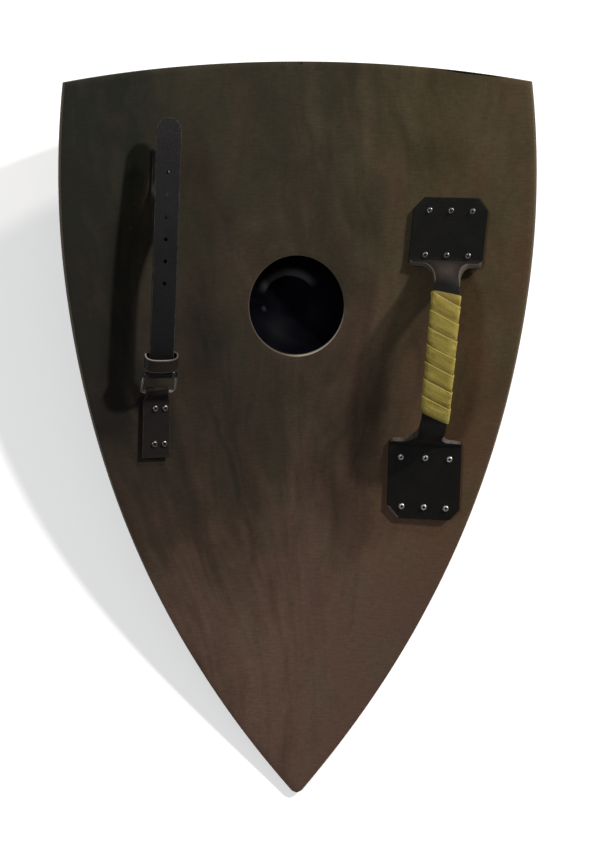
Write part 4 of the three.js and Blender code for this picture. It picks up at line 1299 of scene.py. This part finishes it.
def buildTab():
    path = tabPath()
    tab = straightStrip("strapTab", 1.0, path.length, 12, 240)

    def halfAt(along):
        near = smoothstep(path.at(along)[0].x, tabSize["flatEnd"], ringSize["lowBar"][0] - barReach)
        return mix(tabSize["half"], ringSize["half"] - ringSize["lowRound"], near)

    moveAll(tab, lambda spot: Vector((spot.x * halfAt(spot.y), spot.y, 0)))
    applyModifier(tab, "SOLIDIFY", thickness=strapSize["thick"], offset=0)
    easeEdges(tab, strapSize["edgeEase"])
    keepFlat(tab)
    keepLeatherEdges(tab, halfAt, path.length, strapSize["thick"])
    moveAll(tab, lambda spot: bendAndLay(onLine(strapLine, path.lay(spot))))
    finishPiece(tab, ["strap_tab"], tabLeather, 45)


def ringPath():
    # a rounded oblong with wider corners at the foot
    half, length = ringSize["half"], (Vector(ringSize["topBar"]) - Vector(ringSize["lowBar"])).length
    high, low = ringSize["topRound"], ringSize["lowRound"]
    points = [(-half + high, 0), (half - high, 0)]
    points += roundBar((half - high, high), high, -math.pi / 2, math.pi / 2, 10)[1:]
    points += roundBar((half - low, length - low), low, 0, math.pi / 2, 12)
    points += roundBar((-half + low, length - low), low, math.pi / 2, math.pi / 2, 12)
    points += roundBar((-half + high, high), high, math.pi, math.pi / 2, 10)[:-1]
    return [Vector(point) for point in points]


def buildRing():
    corners = ringPath()
    steps = ringSize["steps"]
    spots = evenSpots(corners + [corners[0]], steps)[:-1]
    deselectAll()
    bpy.ops.mesh.primitive_torus_add(major_segments=steps, minor_segments=ringSize["around"],
                                     major_radius=ringSize["radius"], minor_radius=ringSize["wire"])
    ring = newest("strapRing")
    top, low = Vector(ringSize["topBar"]), Vector(ringSize["lowBar"])
    down = (low - top).normalized()
    face = Vector((-down.y, down.x)) * -1

    def stepOf(spot):
        return round(math.atan2(spot.y, spot.x) / (2 * math.pi) % 1 * steps) % steps

    def shape(spot):
        i = stepOf(spot)
        along = (spots[(i + 1) % steps] - spots[i - 1]).normalized()
        outside = math.hypot(spot.x, spot.y) - ringSize["radius"]
        place = spots[i] + Vector((along.y, -along.x)) * outside
        drop = top + down * place.y + face * spot.z
        return bendAndLay(onLine(strapLine, Vector((place.x, drop.x, drop.y))))

    # painted shade on the ring's top bar, where the strap folds round it
    def ringShadeShare(spot):
        return ringSize["darkTone"] * (1 - smoothstep(spots[stepOf(spot)].y, 0.004, 0.012))

    keepNumber(ring, "recess", ringShadeShare)
    moveAll(ring, shape)
    finishPiece(ring, ["strap_ring"], brightSteel, 60)


def buildKeeper():
    size = keeperSize
    deselectAll()
    bpy.ops.mesh.primitive_circle_add(vertices=size["around"], radius=size["half"])
    keeper = newest("strapKeeper")
    middle = size["thick"] / 2
    for i, vert in enumerate(keeper.data.vertices):
        turn = i / size["around"] * 2 * math.pi
        c, s = math.cos(turn), math.sin(turn)
        depth = size["front"] if s > 0 else size["back"]
        vert.co = Vector((math.copysign(abs(c) ** size["fullness"], c) * (size["half"] + middle), 0,
                          math.copysign(abs(s) ** size["fullness"], s) * (depth + middle)))
    moveAll(keeper, lambda spot: spot - Vector((0, size["length"] / 2, 0)))
    openWhole(keeper)
    rowStep = size["length"] / size["rows"]
    for row in range(size["rows"]):
        bpy.ops.mesh.extrude_region_move(TRANSFORM_OT_translate={"value": (0, rowStep, 0)})
    closeEdit()
    mergeAndTurnOut(keeper)
    applyModifier(keeper, "SOLIDIFY", thickness=size["thick"], offset=0)
    easeEdges(keeper, size["edgeEase"])
    keepFlat(keeper)
    half = size["length"] / 2
    keepNumber(keeper, "rim", lambda spot: 1.1 * (1 - smoothstep(half - abs(spot.y), 0.0004, 0.0030)))

    def cutShare(spot):
        # painted highlight on the cut edge, bright on the left and fading to the right
        return mix(1.0, 0.15, smoothstep(spot.x, 0.004, 0.019)) if half - abs(spot.y) < 0.0003 else 0.0

    keepNumber(keeper, "cutEdge", cutShare)
    slope = math.radians(size["slope"])
    along = Vector((math.cos(slope), math.sin(slope)))
    normal = Vector((-math.sin(slope), math.cos(slope)))

    def shape(spot):
        place = Vector(size["middle"]) + along * spot.y + normal * spot.z
        return bendAndLay(onLine(strapLine, Vector((spot.x, place.x, place.y))))

    moveAll(keeper, shape)
    finishPiece(keeper, ["strap_keeper"], keeperLeather, 45)


buildStrap()
buildTab()
buildRing()
buildKeeper()
print("strap, tab, ring and keeper ready")


# Screws

screwSize = {"radius": 0.004, "height": 0.0024, "around": 28, "recess": 0.0021, "recessWide": 0.0013,
             "recessDepth": 0.0013, "recessHead": 1.25, "recessFoot": 0.7, "recessEase": 0.00012,
             "profile": ((0.0040, 0.0005), (0.0039, 0.0010), (0.0036, 0.0016), (0.0031, 0.0020),
                         (0.0025, 0.0023), (0.0019, 0.0024))}


def makeScrew():
    # one round head with a crossed recess, copied for the rest
    size = screwSize
    deselectAll()
    bpy.ops.mesh.primitive_circle_add(vertices=size["around"], radius=size["radius"])
    screw = newest("screwModel")
    openWhole(screw)
    reach, level = size["radius"], 0.0
    for nextReach, nextLevel in size["profile"]:
        bpy.ops.mesh.extrude_region_move()
        bpy.ops.transform.translate(value=(0, 0, nextLevel - level))
        bpy.ops.transform.resize(value=(nextReach / reach, nextReach / reach, 1),
                                 center_override=(0, 0, nextLevel))
        reach, level = nextReach, nextLevel
    bpy.ops.mesh.edge_face_add()
    bpy.ops.mesh.select_all(action="DESELECT")
    bpy.ops.mesh.select_non_manifold()
    bpy.ops.mesh.edge_face_add()
    closeEdit()
    mergeAndTurnOut(screw)
    wide, deep = size["recessWide"], size["recessDepth"]

    def slotShape(spot):
        spread = size["recessHead"] if spot.z > 0 else size["recessFoot"]
        return Vector((spot.x * 2 * size["recess"] * spread, spot.y * wide,
                       size["height"] - deep + (spot.z + 0.5) * deep * 1.4))

    for quarter in range(2):
        deselectAll()
        bpy.ops.mesh.primitive_cube_add(size=1)
        slot = newest("crossSlot")
        moveAll(slot, slotShape)
        if quarter:
            moveAll(slot, lambda spot: Vector((-spot.y, spot.x, spot.z)))
        cutWith(screw, slot)
    easeEdges(screw, size["recessEase"], 2, 55)

    # painted shade in the cross recess
    def recessShadeShare(spot):
        inCross = math.hypot(spot.x, spot.y) < 0.0029 and min(abs(spot.x), abs(spot.y)) < 0.0008
        return 1.0 if inCross and 0.0008 < spot.z < 0.0021 else 0.0

    keepNumber(screw, "recess", recessShadeShare)
    return screw


screwModel = makeScrew()


def placeScrew(node, place, dull=0.0):
    deselectAll()
    screw = screwModel.copy()
    screw.data = screwModel.data.copy()
    screw.name = screw.data.name = node + "_head"
    bpy.context.scene.collection.objects.link(screw)
    turn = random.uniform(0, math.pi)

    def turned(spot):
        c, s = math.cos(turn), math.sin(turn)
        return place(Vector((spot.x * c - spot.y * s, spot.x * s + spot.y * c, spot.z)))

    if dull:
        for spot in screw.data.attributes["recess"].data:
            spot.value = max(spot.value, dull)
    moveAll(screw, turned)
    finishPiece(screw, [node], brightSteel, 35)


def screwOn(node, line, x, y, level, dull=0.0):
    def place(spot):
        return bendAndLay(onLine(line, Vector((x + spot.x, y + spot.y, level + spot.z))))

    placeScrew(node, place, dull)


# each row gives its height, the step across and how far its screws are darkened
screwRows = {
    "handle": {"line": handleLine, "level": handleSize["padThick"] + 2 * handleSize["gap"], "middle": 0.0,
               "across": 3, "rows": ((0.117, 0.026, 0.62), (0.064, 0.026, 0.62), (-0.1834, 0.030, 0.0),
                                     (-0.245, 0.0275, 0.0))},
    "tab": {"line": strapLine, "level": 2 * strapSize["gap"] + strapSize["thick"] + strapSize["step"],
            "middle": 0.0047, "across": 2, "rows": ((-0.1175, 0.0124, 0.70), (-0.161, 0.0124, 0.70))},
    "anchor": {"line": strapLine, "level": 2 * strapSize["gap"] + strapSize["thick"], "middle": 0.0,
               "across": 2, "rows": ((0.178, 0.014, 0.0), (0.164, 0.014, 0.0))}}
bossScrews = {"count": 6, "circle": 0.074, "level": -0.0116}

for name, group in screwRows.items():
    for row, (y, step, dull) in enumerate(group["rows"]):
        for column in range(group["across"]):
            x = group["middle"] + (column - (group["across"] - 1) / 2) * step
            screwOn("%s_screw_%d_%d" % (name, row + 1, column + 1), group["line"], x, y, group["level"], dull)
for i in range(bossScrews["count"]):
    turn = (i + 0.5) / bossScrews["count"] * 2 * math.pi
    spokeX, spokeY = bossScrews["circle"] * math.cos(turn), bossScrews["circle"] * math.sin(turn)
    middle = Vector((spokeX, spokeY, bossScrews["level"]))
    placeScrew("boss_screw_%d" % (i + 1),
               lambda spot: bendAndLay(middle + Vector((spot.x, -spot.y, -spot.z))))
bpy.data.objects.remove(screwModel)
print("screws ready")
